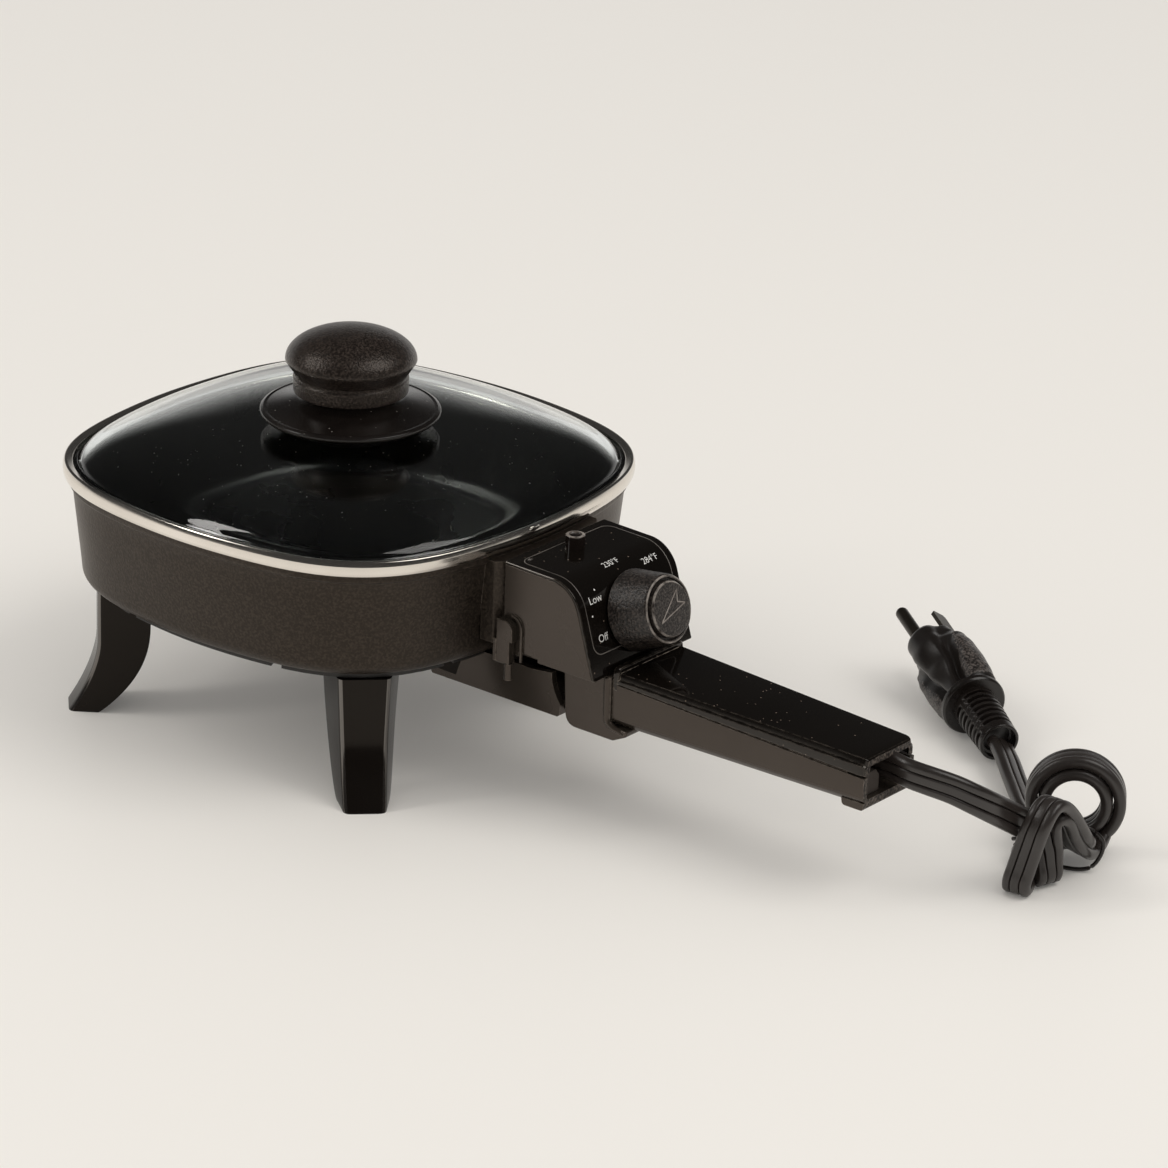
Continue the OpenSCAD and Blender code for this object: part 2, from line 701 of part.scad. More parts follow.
// A thin upright slice of the grip, between two heights, set in by a wall
module grip_slice(x, low, high, inset, crown) {
    half = grip_half(x) - inset;
    shoulder = crown ? 1.5 : 0;
    foot = crown ? 0 : 1.2;
    translate([x, 0, 0]) rotate([90, 0, 90]) linear_extrude(height = 0.01) polygon([
        [-half + foot, low], [half - foot, low], [half, low + foot], [half, high - shoulder * 2],
        [half - shoulder, high], [-half + shoulder, high], [-half, high - shoulder * 2],
        [-half, low + foot]
    ]);
}

handle_screw_x = [grip_x + 30, handle_end - 34];
post_r = 3.6;
heel_len = 10;

module handle_lower() {
    low = grip_z;
    x0 = grip_x + 0.05;
    heel_w = 2 * grip_end_half - 1;
    color("#4b4038") placed() {
        difference() {
            union() {
                hull() {
                    grip_slice(x0, low, part_z(x0) - 0.4, 0, false);
                    grip_slice(handle_end - 0.2, low, part_end_z - 0.4, 0, false);
                }
                // The heel under the free end
                hull() {
                    translate([handle_end - heel_len + 3, 0, low - heel_drop + 2.6])
                        rotate([90, 0, 0]) cylinder(r = 2, h = heel_w, center = true, $fn = 24);
                    translate([handle_end - 2.2, 0, low - heel_drop + 2])
                        rotate([90, 0, 0]) cylinder(r = 2, h = heel_w, center = true, $fn = 24);
                    grip_slice(handle_end - heel_len, low + 0.6, low + 3, 0.2, false);
                    grip_slice(handle_end - 0.3, low + 1, low + 4, 0.2, false);
                }
            }
            hull() {
                grip_slice(x0 + shell_t, low + shell_t, part_z(x0) + 1, shell_t, false);
                grip_slice(handle_end + 1, low + shell_t, part_end_z + 1, shell_t, false);
            }
            for (x = handle_screw_x) translate([x, 0, grip_z - 1])
                cylinder(r = screw_r + screw_gap, h = 5, $fn = 24);
        }
        // Posts that the screws pass through
        for (x = handle_screw_x) translate([x, 0, grip_z + shell_t - 0.2]) difference() {
            cylinder(r = post_r, h = 5, $fn = 32);
            translate([0, 0, -1]) cylinder(r = screw_r + screw_gap, h = 8, $fn = 24);
        }
    }
}

module handle_upper() {
    x0 = grip_x + 0.05;
    x1 = handle_end;
    lip_top = grip_top(x0) + lip_up;
    color("#191615") placed() difference() {
        union() {
            hull() {
                grip_slice(x0, part_z(x0), grip_top(x0), 0, true);
                grip_slice(x1 - 4, part_z(x1 - 4), grip_top(x1 - 4), 0, true);
                grip_slice(x1 - 0.2, part_end_z, grip_top(x1) - 0.8, 0.6, true);
            }
            // A round-cornered lip stands up at the box's foot
            hull() for (s = [-1, 1]) translate([x0, s * (grip_start_half - 2), lip_top - 2])
                rotate([0, 90, 0]) cylinder(r = 2, h = 2.4, $fn = 24);
        }
        difference() {
            hull() {
                grip_slice(x0 + shell_t, part_z(x0) - 1, grip_top(x0) - shell_t, shell_t, true);
                grip_slice(x1 + 1, part_end_z - 1, grip_top(x1) - shell_t, shell_t, true);
            }
            // Posts that take the screws
            for (x = handle_screw_x) translate([x, 0, grip_z + shell_t + 5.1])
                cylinder(r = post_r, h = 30, $fn = 32);
        }
        for (x = handle_screw_x) translate([x, 0, grip_z])
            cylinder(r = screw_r + thread_gap, h = 14, $fn = 24);
    }
}

module handle_screws() {
    color("#8d8f92") placed() for (x = handle_screw_x) translate([x, 0, grip_z - 0.02]) screw(12);
}

clamp_x = handle_end - 8.5;
clamp_l = 12;
cord_z = 46;
cord_y = 3;

// The block inside the end of the handle, with the slot that grips the cord
module cord_clamp() {
    foot_z = grip_z + shell_t + 0.05;
    color("#1d1b1a") placed() difference() {
        translate([clamp_x - clamp_l, cord_y - 7, foot_z]) cube([clamp_l, 13, 12.6]);
        translate([clamp_x - 7, cord_y - cord_t / 2 + 0.1, cord_z - cord_w / 2 + 0.1])
            cube([8, cord_t - 0.2, cord_w + 2]);
    }
}

// ---------- dial ----------

module dial_knob() {
    color("#201c1a") on_dial_axis() difference() {
        rotate_extrude($fn = 96) polygon([
            [0, seat_gap + 0.1], [dial_base_r - 0.6, seat_gap + 0.1], [dial_base_r, seat_gap + 0.8],
            [dial_r, dial_h - 1.1], [dial_r - 0.4, dial_h - 0.4], [dial_r - 1.1, dial_h],
            [0, dial_h]
        ]);
        translate([0, 0, dial_h - 1.6]) cylinder(r = dial_cap_r + 0.1, h = 3, $fn = 96);
        translate([0, 0, -1]) cylinder(r = dial_shaft_r, h = dial_h - 3, $fn = round_fn);
        translate([0, 0, -1]) difference() {
            cylinder(r = dial_r - 2, h = 8, $fn = 64);
            cylinder(r = dial_shaft_r + 2.2, h = 9, $fn = round_fn);
        }
    }
}

// A grained disc with a sunk pointer that points at the off mark
module dial_cap() {
    color("#5a5049") on_dial_axis() translate([0, 0, dial_h - 1.55]) difference() {
        rotate_extrude($fn = 96) polygon([
            [0, 0], [dial_cap_r, 0], [dial_cap_r, 2.3], [dial_cap_r - 0.5, 2.8], [0, 2.8]
        ]);
        // About the axis -X is up the face, and +Y is to the right
        rotate([0, 0, pointer_turn]) translate([0, 0, 2.3]) linear_extrude(height = 1)
            polygon([[0.74, 0], [-0.68, 0.32], [-0.4, 0.02], [-0.68, -0.32]] * dial_cap_r);
    }
}

module dial_shaft() {
    color("#a7a9ac") on_dial_axis() translate([0, 0, -14]) difference() {
        cylinder(r = dial_shaft_r, h = dial_h + 10, $fn = round_fn);
        translate([dial_shaft_r - 1, -5, dial_h + 2]) cube([4, 10, 12]);
    }
}

// ---------- cord and plug ----------

// Chosen by hand, in the part's own frame: from the clamp to the loops, and on to the plug
lead_route = [
    [clamp_x + pan_x - 6, 3, 46], [168, 3, 46], [173.5, 2, 46], [178, 2.2, 45.6], [183, 4, 44.6],
    [189.3, 8.2, 42.2], [194.3, 13.2, 38.6], [197.4, 19.6, 34.2], [198.9, 27.2, 29.2],
    [200.3, 35, 24], [201.2, 42.5, 18.8], [201.4, 50, 14.4]
];
tail_route = [
    [200, 63.5, 6], [194, 61.5, 5.4], [187, 64, 5.2], [181, 69.5, 5.2], [174, 77, 5.2],
    [167, 83.6, 5.2], [160, 90.6, 5.6], [151.6, 98.6, 6.3], [141.8, 108, 7.2], [134.2, 114.8, 7.7]
];
tail_way = [-0.5, -0.7, 0.5];

function unit(v) = v / norm(v);

// Flat cord: an eight-sided section carried along a route, its width held towards one way
module flat_cord(route, width_way) {
    n = len(route);
    corners = [[1, 0.4], [0.8, 1], [-0.8, 1], [-1, 0.4], [-1, -0.4], [-0.8, -1], [0.8, -1], [1, -0.4]];
    skin([
        for (i = [0:n - 1])
            let (
                t = unit(route[min(i + 1, n - 1)] - route[max(i - 1, 0)]),
                w = unit(width_way - (width_way * t) * t),
                h = cross(t, w)
            )
            [for (p = corners) route[i] + w * p[0] * cord_w / 2 + h * p[1] * cord_t / 2]
    ]);
}

module cord_lead() {
    color("#1c1b1b") flat_cord(lead_route, [0, 0, 1]);
}

module cord_tail() {
    color("#1c1b1b") flat_cord(tail_route, tail_way);
}

ring_at = [195.3, 73.6, 18.8];
ring_heading = -56.6;
ring_hole_r = 8.4;
ring_turns = 2.3;
lobe_at = [203.6, 26, 1.3];
lobe_lean = 11;
lobe_h = 34;
lobe_len = 34;

// Two turns of flat cord, one inside the other, that stand on the table as a ring
module cord_loop_side() {
    color("#1c1b1b") translate(ring_at) rotate([0, 90, ring_heading]) rotate_extrude($fn = 64)
        translate([ring_hole_r, -cord_w / 2]) square([cord_t * ring_turns, cord_w]);
}

// Two nested turns that lean over in front of the ring and run back to the tie
module cord_loop_front() {
    color("#1c1b1b") translate(lobe_at) rotate([0, lobe_lean, 0]) rotate([90, 0, 90])
        linear_extrude(height = cord_w, center = true) hull() {
            translate([4, 4]) circle(r = 4, $fn = 32);
            translate([12, lobe_h - 5]) circle(r = 5, $fn = 32);
            translate([lobe_len, 8]) circle(r = 5, $fn = 32);
            translate([lobe_len - 8, 4]) circle(r = 4, $fn = 32);
        }
}

// The wire tie: a band round the waist between the two loops
module cord_tie() {
    tie_w = cord_w + 2.4;
    tie_h = 14.6;
    color("#0e0e0e") translate([204.6, 63.5, tie_h / 2 + 0.3]) rotate([90, 0, 12])
        linear_extrude(height = 2, center = true) difference() {
            square([tie_w, tie_h], center = true);
            square([tie_w - 2.4, tie_h - 2.4], center = true);
        }
}

plug_at = [111.4, 129.3, 12.3];
plug_heading = 147.7;
plug_tilt = 9;
plug_roll = 33;

module on_plug() {
    translate(plug_at) rotate([0, -plug_tilt, plug_heading]) rotate([plug_roll, 0, 0]) children();
}

// One level of the plug's body: an oval pinched at the sides by the finger grips
function plug_loop(x, r_y, r_z, pinch) = [
    for (i = [0:27])
        let (a = -360 * i / 28, grip = 1 - pinch * pow(abs(sin(a)), 6))
        [x, r_y * cos(a) * (1 - pinch * 0.5 * pow(abs(cos(a)), 8)), r_z * sin(a) * grip]
];

module plug_body() {
    color("#1d1b1a") on_plug() skin([
        plug_loop(-2.2, plug_r - 0.6, plug_r - 0.6, 0), plug_loop(-1.6, plug_r, plug_r, 0),
        plug_loop(0.2, plug_r, plug_r, 0), plug_loop(0.8, plug_r - 0.6, plug_r - 0.6, 0),
        plug_loop(2, plug_r - 2.4, plug_r - 2.8, 0.12), plug_loop(7, plug_r - 0.4, plug_r - 1, 0.28),
        plug_loop(17, plug_r + 1.2, plug_r + 0.2, 0.3), plug_loop(28, plug_r + 1.5, plug_r, 0.22),
        plug_loop(35, plug_r + 1, plug_r - 0.6, 0.14),
        plug_loop(plug_len - 1.6, plug_r, plug_r - 1.4, 0.1),
        plug_loop(plug_len, plug_r - 1.4, plug_r - 2.8, 0.06)
    ]);
}

// The strain relief: a taper cut by staggered grooves, with a spine left on each side
module plug_relief() {
    ribs = 6;
    pitch = 2.9;
    groove = 1.4;
    core_r = 5.2;
    tip_x = -relief_len - 2.25;
    color("#1d1b1a") on_plug() difference() {
        translate([tip_x, 0, 0]) rotate([0, 90, 0]) cylinder(r1 = 7.4, r2 = 8.4, h = relief_len, $fn = 40);
        for (i = [0:ribs - 1], s = [-1, 1])
            translate([-6.4 - i * pitch - (s > 0 ? 0 : pitch / 2), 0, 0]) difference() {
                translate([0, -10, s > 0 ? 1.2 : -11.2]) cube([groove, 20, 10]);
                translate([-1, 0, 0]) rotate([0, 90, 0]) cylinder(r = core_r, h = groove + 2, $fn = 32);
            }
    }
}

blade_w = 6.35;
blade_t = 1.5;
blade_len = 15.5;
blade_gap = 12.7;
blade_y = -4.9;
earth_y = blade_y + 11.9;
earth_r = 2.4;

module plug_blades() {
    color("#c9c2ae") on_plug() for (s = [-1, 1])
        translate([plug_len + 0.02, blade_y, s * blade_gap / 2]) difference() {
            hull() {
                translate([0, -blade_w / 2, -blade_t / 2]) cube([blade_len - 1.5, blade_w, blade_t]);
                translate([0, -blade_w / 2 + 1.2, -blade_t / 2])
                    cube([blade_len, blade_w - 2.4, blade_t]);
            }
            translate([blade_len - 4.2, 0, -2]) cylinder(r = 1.6, h = 4, $fn = 24);
        }
}

module plug_earth_pin() {
    color("#c9c2ae") on_plug() translate([plug_len + 0.02, earth_y, 0]) rotate([0, 90, 0])
        rotate_extrude($fn = 32) polygon(concat(
            [[0, 0], [earth_r, 0]],
            arc([0, earth_len - earth_r], earth_r, 0, 80, 5),
            [[0, earth_len]]
        ));
}

pan();
heating_element();
base_ring();
leg_front_left();
leg_front_right();
leg_back_left();
leg_back_right();
leg_screws();
support_arm();
arm_screws();
box_screws();
lid_glass();
lid_ring();
knob_skirt();
lid_knob();
knob_washer();
knob_screw();
control_box();
face_plate();
side_lugs();
lug_pins();
lamp_lens();
thermostat();
collar();
handle_lower();
handle_upper();
handle_screws();
cord_clamp();
dial_knob();
dial_cap();
dial_shaft();
cord_lead();
cord_loop_front();
cord_loop_side();
cord_tail();
cord_tie();
plug_body();
plug_relief();
plug_blades();
plug_earth_pin();
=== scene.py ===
"""Electric skillet: a square pan with a domed glass lid, a dial box and one long handle."""

import math

import bmesh
import bpy
from mathutils import Matrix, Vector


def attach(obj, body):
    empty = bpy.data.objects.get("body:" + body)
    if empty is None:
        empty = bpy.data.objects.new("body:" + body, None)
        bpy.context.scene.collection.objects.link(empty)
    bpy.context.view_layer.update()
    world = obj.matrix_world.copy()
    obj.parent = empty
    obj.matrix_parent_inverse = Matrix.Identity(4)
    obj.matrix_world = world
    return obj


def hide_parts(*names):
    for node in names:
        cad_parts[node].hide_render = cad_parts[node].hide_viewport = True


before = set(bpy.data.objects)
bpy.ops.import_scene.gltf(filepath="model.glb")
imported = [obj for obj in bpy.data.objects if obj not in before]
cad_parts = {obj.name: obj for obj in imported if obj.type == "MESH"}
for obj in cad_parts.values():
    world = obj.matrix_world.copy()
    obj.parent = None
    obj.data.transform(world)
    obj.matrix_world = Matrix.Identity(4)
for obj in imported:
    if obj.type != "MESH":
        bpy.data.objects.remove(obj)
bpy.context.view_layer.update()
scene = bpy.context.scene
MM = 0.001

# Sizes of the skillet in millimetres, from the pan's middle outwards; its middle stands at PAN_X
PAN_X = -75.5
PAN_HALF = 89.4
PAN_DRAFT = 3
PAN_WALL = 2
PAN_BASE_Z = 48.8
PAN_FLOOR_T = 3.5
PAN_RIM_Z = 89.3
RING_HALF = 92.5
RING_Z = 89.6
RING_TOP_Z = 95.2
RING_T = 0.6
RING_LIP = 5.6
GLASS_Z = 90.25
GLASS_T = 3.6
DOME_TOP_Z = 107.2
LEDGE_HALF = 87.5
BOX_X = 95.4
BOX_Z = 54.8
BOX_HALF = 27
BOX_FRONT = 136.6
BOX_H = 34.1
LEAN = math.radians(17)
CROWN = math.radians(1.2)
BEND_R = 13
GRIP_X = 137.6
GRIP_Z = 36.2
HANDLE_END = 243.5
CORD_W = 10.6
CORD_T = 4.3


# ---------- camera ----------

def add_camera():
    """A long lens, a little above the table, that looks past the pan's front corner."""
    place, focal_length = (1.2444, -1.5131, 0.8712), 184.93
    heading, pitch, roll = math.radians(38.668), math.radians(22.312), 0.029
    back = Vector((
        math.sin(heading) * math.cos(pitch), -math.cos(heading) * math.cos(pitch), math.sin(pitch)
    ))
    right = Vector((math.cos(heading), math.sin(heading), 0))
    up = back.cross(right)
    right, up = (
        math.cos(roll) * right + math.sin(roll) * up,
        -math.sin(roll) * right + math.cos(roll) * up,
    )
    lens = bpy.data.cameras.new("camera")
    lens.sensor_width = 36
    lens.lens = focal_length
    lens.clip_start, lens.clip_end = 0.05, 30
    camera = bpy.data.objects.new("camera", lens)
    turn = Matrix((right, up, back)).transposed().to_4x4()
    camera.matrix_world = Matrix.Translation(place) @ turn
    scene.collection.objects.link(camera)
    scene.camera = camera


add_camera()


# ---------- shape helpers: all in millimetres ----------

def arc(centre, radius, start, end, steps):
    """Points on an arc between two angles in degrees, as (across, up)."""
    turns = [math.radians(start + (end - start) * i / steps) for i in range(steps + 1)]
    return [(centre[0] + radius * math.cos(a), centre[1] + radius * math.sin(a)) for a in turns]


def rounded(corners, steps=4, closed=True):
    """A flat outline whose corners, given as (x, y, radius), are turned into arcs."""
    outline = []
    count = len(corners)
    for i, (x, y, radius) in enumerate(corners):
        here = Vector((x, y))
        before = Vector(corners[i - 1][:2])
        after = Vector(corners[(i + 1) % count][:2])
        if radius <= 0 or (not closed and i in (0, count - 1)):
            outline += [(x, y)] * (1 if radius <= 0 else steps + 1)
            continue
        to_before = (before - here).normalized()
        to_after = (after - here).normalized()
        half = to_before.angle(to_after, math.pi / 2) / 2
        reach = min(radius / math.tan(half), (before - here).length / 2, (after - here).length / 2)
        start, end = here + to_before * reach, here + to_after * reach
        for k in range(steps + 1):
            t = k / steps
            point = start * (1 - t) ** 2 + here * 2 * t * (1 - t) + end * t ** 2
            outline.append((point.x, point.y))
    return outline


def loft(loops, closed=False, caps=True):
    """A skin over loops that have the same number of points."""
    n, m = len(loops[0]), len(loops)
    points = [p for loop in loops for p in loop]
    faces = []
    for j in range(m if closed else m - 1):
        a, b = j * n, (j + 1) % m * n
        for i in range(n):
            k = (i + 1) % n
            faces.append((a + i, a + k, b + k, b + i))
    if caps and not closed:
        faces.append(tuple(reversed(range(n))))
        faces.append(tuple(range((m - 1) * n, m * n)))
    return points, faces


def joined(*parts):
    """Several skins as one."""
    points, faces = [], []
    for part_points, part_faces in parts:
        start = len(points)
        points += part_points
        faces += [tuple(i + start for i in face) for face in part_faces]
    return points, faces


def moved(part, matrix):
    """A skin put somewhere else."""
    return [matrix @ Vector(p) for p in part[0]], part[1]


def pushed(outline, low, high, axes="xz"):
    """An outline drawn on two axes, made solid along the third."""
    place = {
        "xz": lambda a, b, c: (a, c, b),
        "xy": lambda a, b, c: (a, b, c),
        "yz": lambda a, b, c: (c, a, b),
    }[axes]
    return loft([[place(a, b, c) for a, b in outline] for c in (low, high)])


def turned(profile, steps=128):
    """A profile of (radius, height) turned round the upright axis; radius 0 closes it."""
    least = 0.001
    turns = [2 * math.pi * i / steps for i in range(steps)]
    loops = [
        [(max(r, least) * math.cos(a), max(r, least) * math.sin(a), z) for a in turns]
        for r, z in profile
    ]
    return loft(loops, closed=profile[0][0] > least and profile[-1][0] > least)


def rim_r(half, turn):
    """Polar radius of the rounded-square plan outline, which gets rounder towards the middle."""
    squared, corner, trim = min(1, half / 60), 0.11, 0.012
    swell = corner * squared * (1 - math.cos(4 * turn)) / 2
    return half * (1 + swell - trim * squared * (1 - math.cos(8 * turn)) / 2)


def rim_point(half, turn, z):
    r = rim_r(half, turn)
    return PAN_X + r * math.cos(turn), r * math.sin(turn), z


def rim_loop(half, z, steps=288):
    return [rim_point(half, 2 * math.pi * i / steps, z) for i in range(steps)]


def rim_skin(profile, closed=False):
    """A profile of (half-width, height) carried round the plan outline."""
    return loft([rim_loop(half, z) for half, z in profile], closed)


def shift(part, x=0, y=0, z=0):
    return moved(part, Matrix.Translation((x, y, z)))


def piece(name, part, body, materials, replaces=(), sharp=32, paint=None, edge=0):
    """Makes a skin into an object that rides on a body and stands for CAD nodes."""
    points, faces = part
    mesh = bpy.data.meshes.new(name)
    mesh.from_pydata([Vector(p) * MM for p in points], [], faces)
    mesh.validate()
    clean = bmesh.new()
    clean.from_mesh(mesh)
    bmesh.ops.remove_doubles(clean, verts=clean.verts, dist=0.000002)
    bmesh.ops.recalc_face_normals(clean, faces=clean.faces)
    clean.to_mesh(mesh)
    clean.free()
    for material in materials if isinstance(materials, list) else [materials]:
        mesh.materials.append(material)
    mesh.polygons.foreach_set("use_smooth", [True] * len(mesh.polygons))
    mesh.set_sharp_from_angle(angle=math.radians(sharp))
    if paint:
        for face in mesh.polygons:
            face.material_index = paint(face.center / MM, face.normal)
    made = bpy.data.objects.new(name, mesh)
    scene.collection.objects.link(made)
    if edge:
        softened = made.modifiers.new("softened edges", "BEVEL")
        softened.width = edge * MM
        softened.segments = 3
        softened.limit_method = "ANGLE"
        softened.angle_limit = math.radians(35)
        softened.harden_normals = True
    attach(made, body)
    if replaces:
        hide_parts(*replaces)
    return made


# ---------- shader node helpers ----------

def fill(tree, made, inputs):
    """Gives a node its inputs: a socket is linked, and any other value is typed in."""
    for socket, value in inputs.items():
        if isinstance(value, bpy.types.NodeSocket):
            tree.links.new(value, made.inputs[socket])
        else:
            made.inputs[socket].default_value = value


def node(tree, kind, inputs=None, **settings):
    """A shader node; its settings come first, because they decide which inputs it has."""
    made = tree.nodes.new("ShaderNode" + kind)
    for setting, value in settings.items():
        setattr(made, setting, value)
    fill(tree, made, inputs or {})
    return made


def worked(tree, operation, first, second, kind="Math"):
    """The number that a Math or Vector Math node gives."""
    return node(tree, kind, {0: first, 1: second}, operation=operation).outputs["Value"]


def mapped(tree, value, source=(0, 1), result=(0, 1), kind="LINEAR"):
    """A number brought from one range into another."""
    ends = zip(("From Min", "From Max", "To Min", "To Max"), (*source, *result))
    return node(tree, "MapRange", {"Value": value, **dict(ends)}, interpolation_type=kind).outputs[0]


def mixed(tree, share, first, second):
    """Two colours mixed; the first may be a socket or a plain (red, green, blue)."""
    if not isinstance(first, bpy.types.NodeSocket):
        first = (*first, 1)
    colours = {"Factor": share, "A": first, "B": (*second, 1)}
    return node(tree, "Mix", colours, data_type="RGBA").outputs["Result"]


def make_group(name, inputs, outputs):
    """A group of number sockets, with what it is given and what it puts out."""
    tree = bpy.data.node_groups.new(name, "ShaderNodeTree")
    for socket, value in inputs.items():
        given = tree.interface.new_socket(socket, in_out="INPUT", socket_type="NodeSocketFloat")
        given.default_value = value
    for socket in outputs:
        tree.interface.new_socket(socket, in_out="OUTPUT", socket_type="NodeSocketFloat")
    return tree, tree.nodes.new("NodeGroupInput").outputs, tree.nodes.new("NodeGroupOutput")


def new_material(name):
    material = bpy.data.materials.new(name)
    material.use_nodes = True
    tree = material.node_tree
    return material, tree, tree.nodes["Principled BSDF"]


# ---------- finishes ----------

def make_surface_wear():
    """Patches, fine grain and dust specks, from object coordinates in metres."""
    tree, given, out = make_group(
        "surface wear",
        {"Patch Scale": 30, "Grain Scale": 2500, "Speck Scale": 260, "Speck Size": 0.06},
        ("Patch", "Grain", "Specks"),
    )
    place = node(tree, "TexCoord").outputs["Object"]
    patch = node(tree, "TexNoise", {"Vector": place, "Scale": given["Patch Scale"], "Detail": 4})
    grain = node(tree, "TexNoise", {"Vector": place, "Scale": given["Grain Scale"], "Detail": 2})
    cells = node(tree, "TexVoronoi", {"Vector": place, "Scale": given["Speck Scale"]}).outputs
    chance = node(tree, "SeparateColor", {0: cells["Color"]}).outputs[0]
    near = worked(tree, "LESS_THAN", cells["Distance"], given["Speck Size"])
    kept_cells = worked(tree, "GREATER_THAN", chance, 0.72)
    fill(tree, out, {
        "Patch": patch.outputs["Fac"], "Grain": grain.outputs["Fac"],
        "Specks": worked(tree, "MULTIPLY", near, kept_cells),
    })
    return tree


def make_edge_wear_and_highlight():
    """A mask that is 1 along outer edges, broken up by noise; it lays on wear and painted edge
    highlights.
    """
    tree, given, out = make_group("edge wear and painted highlight", {"Width": 0.0004}, ("Edge",))
    softened = node(tree, "Bevel", {"Radius": given["Width"]}, samples=4).outputs[0]
    flat = node(tree, "NewGeometry").outputs["True Normal"]
    alike = worked(tree, "DOT_PRODUCT", softened, flat, "VectorMath")
    place = node(tree, "TexCoord").outputs["Object"]
    noise = node(tree, "TexNoise", {"Vector": place, "Scale": 420}).outputs["Fac"]
    corner, broken = mapped(tree, alike, (0.99, 0.86)), mapped(tree, noise, (0.35, 0.6))
    fill(tree, out, {"Edge": worked(tree, "MULTIPLY", corner, broken)})
    return tree


SURFACE_WEAR = make_surface_wear()
EDGE_WEAR_AND_HIGHLIGHT = make_edge_wear_and_highlight()


def finish_of(
    name, main, patch_colour, rough, metal=0.0, patch=30, grain=2500, bump=0.2, lift=0.00004,
    specks=0.0, speck_scale=260, speck_size=0.06, speck_colour=(0.5, 0.47, 0.42),
    edge=0.0, edge_colour=(0.3, 0.27, 0.24), edge_width=0.0004, ior=1.5, grain_tone=False,
    gloss_tint=(1, 1, 1),
):
    """An opaque finish: two close tones, a grain, a few dust specks and lighter edges, which are partly
    wear and partly painted highlight.
    """
    material, tree, shader = new_material(name)
    wear = node(tree, "Group", {
        "Patch Scale": patch, "Grain Scale": grain, "Speck Scale": speck_scale, "Speck Size": speck_size
    }, node_tree=SURFACE_WEAR).outputs
    cause, tone_range = ("Grain", (0.42, 0.66)) if grain_tone else ("Patch", (0.3, 0.7))
    colour = mixed(tree, mapped(tree, wear[cause], tone_range), main, patch_colour)
    if specks:
        colour = mixed(tree, worked(tree, "MULTIPLY", wear["Specks"], specks), colour, speck_colour)
    # The lighter edge colour is part wear, part painted highlight along the edges.
    if edge:
        rim = node(tree, "Group", {"Width": edge_width}, node_tree=EDGE_WEAR_AND_HIGHLIGHT).outputs["Edge"]
        colour = mixed(tree, worked(tree, "MULTIPLY", rim, edge), colour, edge_colour)
    fill(tree, shader, {
        "Base Color": colour, "Roughness": mapped(tree, wear["Patch"], (0.3, 0.7), rough),
        "Metallic": metal, "IOR": ior, "Specular Tint": (*gloss_tint, 1),
    })
    if bump:
        relief = node(tree, "Bump", {"Strength": bump, "Distance": lift, "Height": wear["Grain"]})
        fill(tree, shader, {"Normal": relief.outputs[0]})
    return material


def clear_glass():
    """Tempered glass with a faint green body and a little dust."""
    material, tree, shader = new_material("lid glass")
    dust = node(tree, "Group", {"Speck Scale": 240, "Speck Size": 0.075}, node_tree=SURFACE_WEAR)
    specks = dust.outputs["Specks"]
    fill(tree, shader, {
        "Transmission Weight": 1, "IOR": 1.5,
        "Base Color": mixed(tree, specks, (0.95, 0.985, 0.965), (0.86, 0.84, 0.8)),
        "Roughness": mapped(tree, specks, result=(0.012, 0.7)),
    })
    return material


def brushed_band():
    """Polished steel with fine lines round the band and a few soft smears."""
    material, tree, shader = new_material("ring steel")
    place = node(tree, "TexCoord").outputs["Object"]
    stretched = node(tree, "Mapping", {"Vector": place, "Scale": (60, 60, 4200)}).outputs[0]
    lines = node(tree, "TexNoise", {"Vector": stretched, "Scale": 1, "Detail": 3}).outputs["Fac"]
    relief = node(tree, "Bump", {"Strength": 0.12, "Distance": 0.00002, "Height": lines})
    smear = node(tree, "Group", {"Patch Scale": 45}, node_tree=SURFACE_WEAR).outputs["Patch"]
    fill(tree, shader, {
        "Metallic": 1, "Base Color": mixed(tree, smear, (0.87, 0.83, 0.77), (0.72, 0.67, 0.61)),
        "Roughness": mapped(tree, smear, result=(0.1, 0.22)), "Normal": relief.outputs[0],
    })
    return material


pan_coat = finish_of(
    "pan coat", (0.0105, 0.008, 0.0061), (0.03, 0.0232, 0.0178), (0.33, 0.42), metal=0.1, patch=14,
    grain=1050, bump=0.8, lift=0.00014, grain_tone=True, specks=0.2, speck_scale=700, speck_size=0.12,
    speck_colour=(0.09, 0.075, 0.06), edge=0.6, edge_colour=(0.2, 0.17, 0.14), ior=1.43,
    gloss_tint=(1, 0.84, 0.71),
)
non_stick = finish_of(
    "non-stick", (0.005, 0.0048, 0.0045), (0.008, 0.0075, 0.007), (0.25, 0.36), grain=1500, bump=0.4,
    specks=0.9, speck_scale=360, speck_size=0.09, speck_colour=(0.42, 0.4, 0.37),
)
gloss_black = finish_of(
    "gloss black", (0.0035, 0.0026, 0.002), (0.005, 0.004, 0.0032), (0.06, 0.1), patch=22, bump=0.04,
    lift=0.00002, specks=0.75, speck_scale=430, speck_size=0.11, speck_colour=(0.2, 0.155, 0.12),
    edge=0.7, edge_colour=(0.4, 0.34, 0.28), gloss_tint=(1, 0.93, 0.86),
)
leg_black = finish_of(
    "leg black", (0.0055, 0.0042, 0.0034), (0.0075, 0.006, 0.005), (0.16, 0.24), patch=26, bump=0.05,
    lift=0.00003, specks=0.6, speck_scale=160, speck_size=0.05, ior=1.3, gloss_tint=(1, 0.9, 0.8),
)
# A lighter, glossier copy of the leg's black for the rounded corners only: painted highlight streaks.
leg_corner_highlight = finish_of(
    "leg corner painted highlight", (0.0055, 0.0042, 0.0034), (0.012, 0.0095, 0.008), (0.12, 0.2), patch=60,
    bump=0.05, lift=0.00003, ior=2.3, gloss_tint=(1, 0.94, 0.88),
)
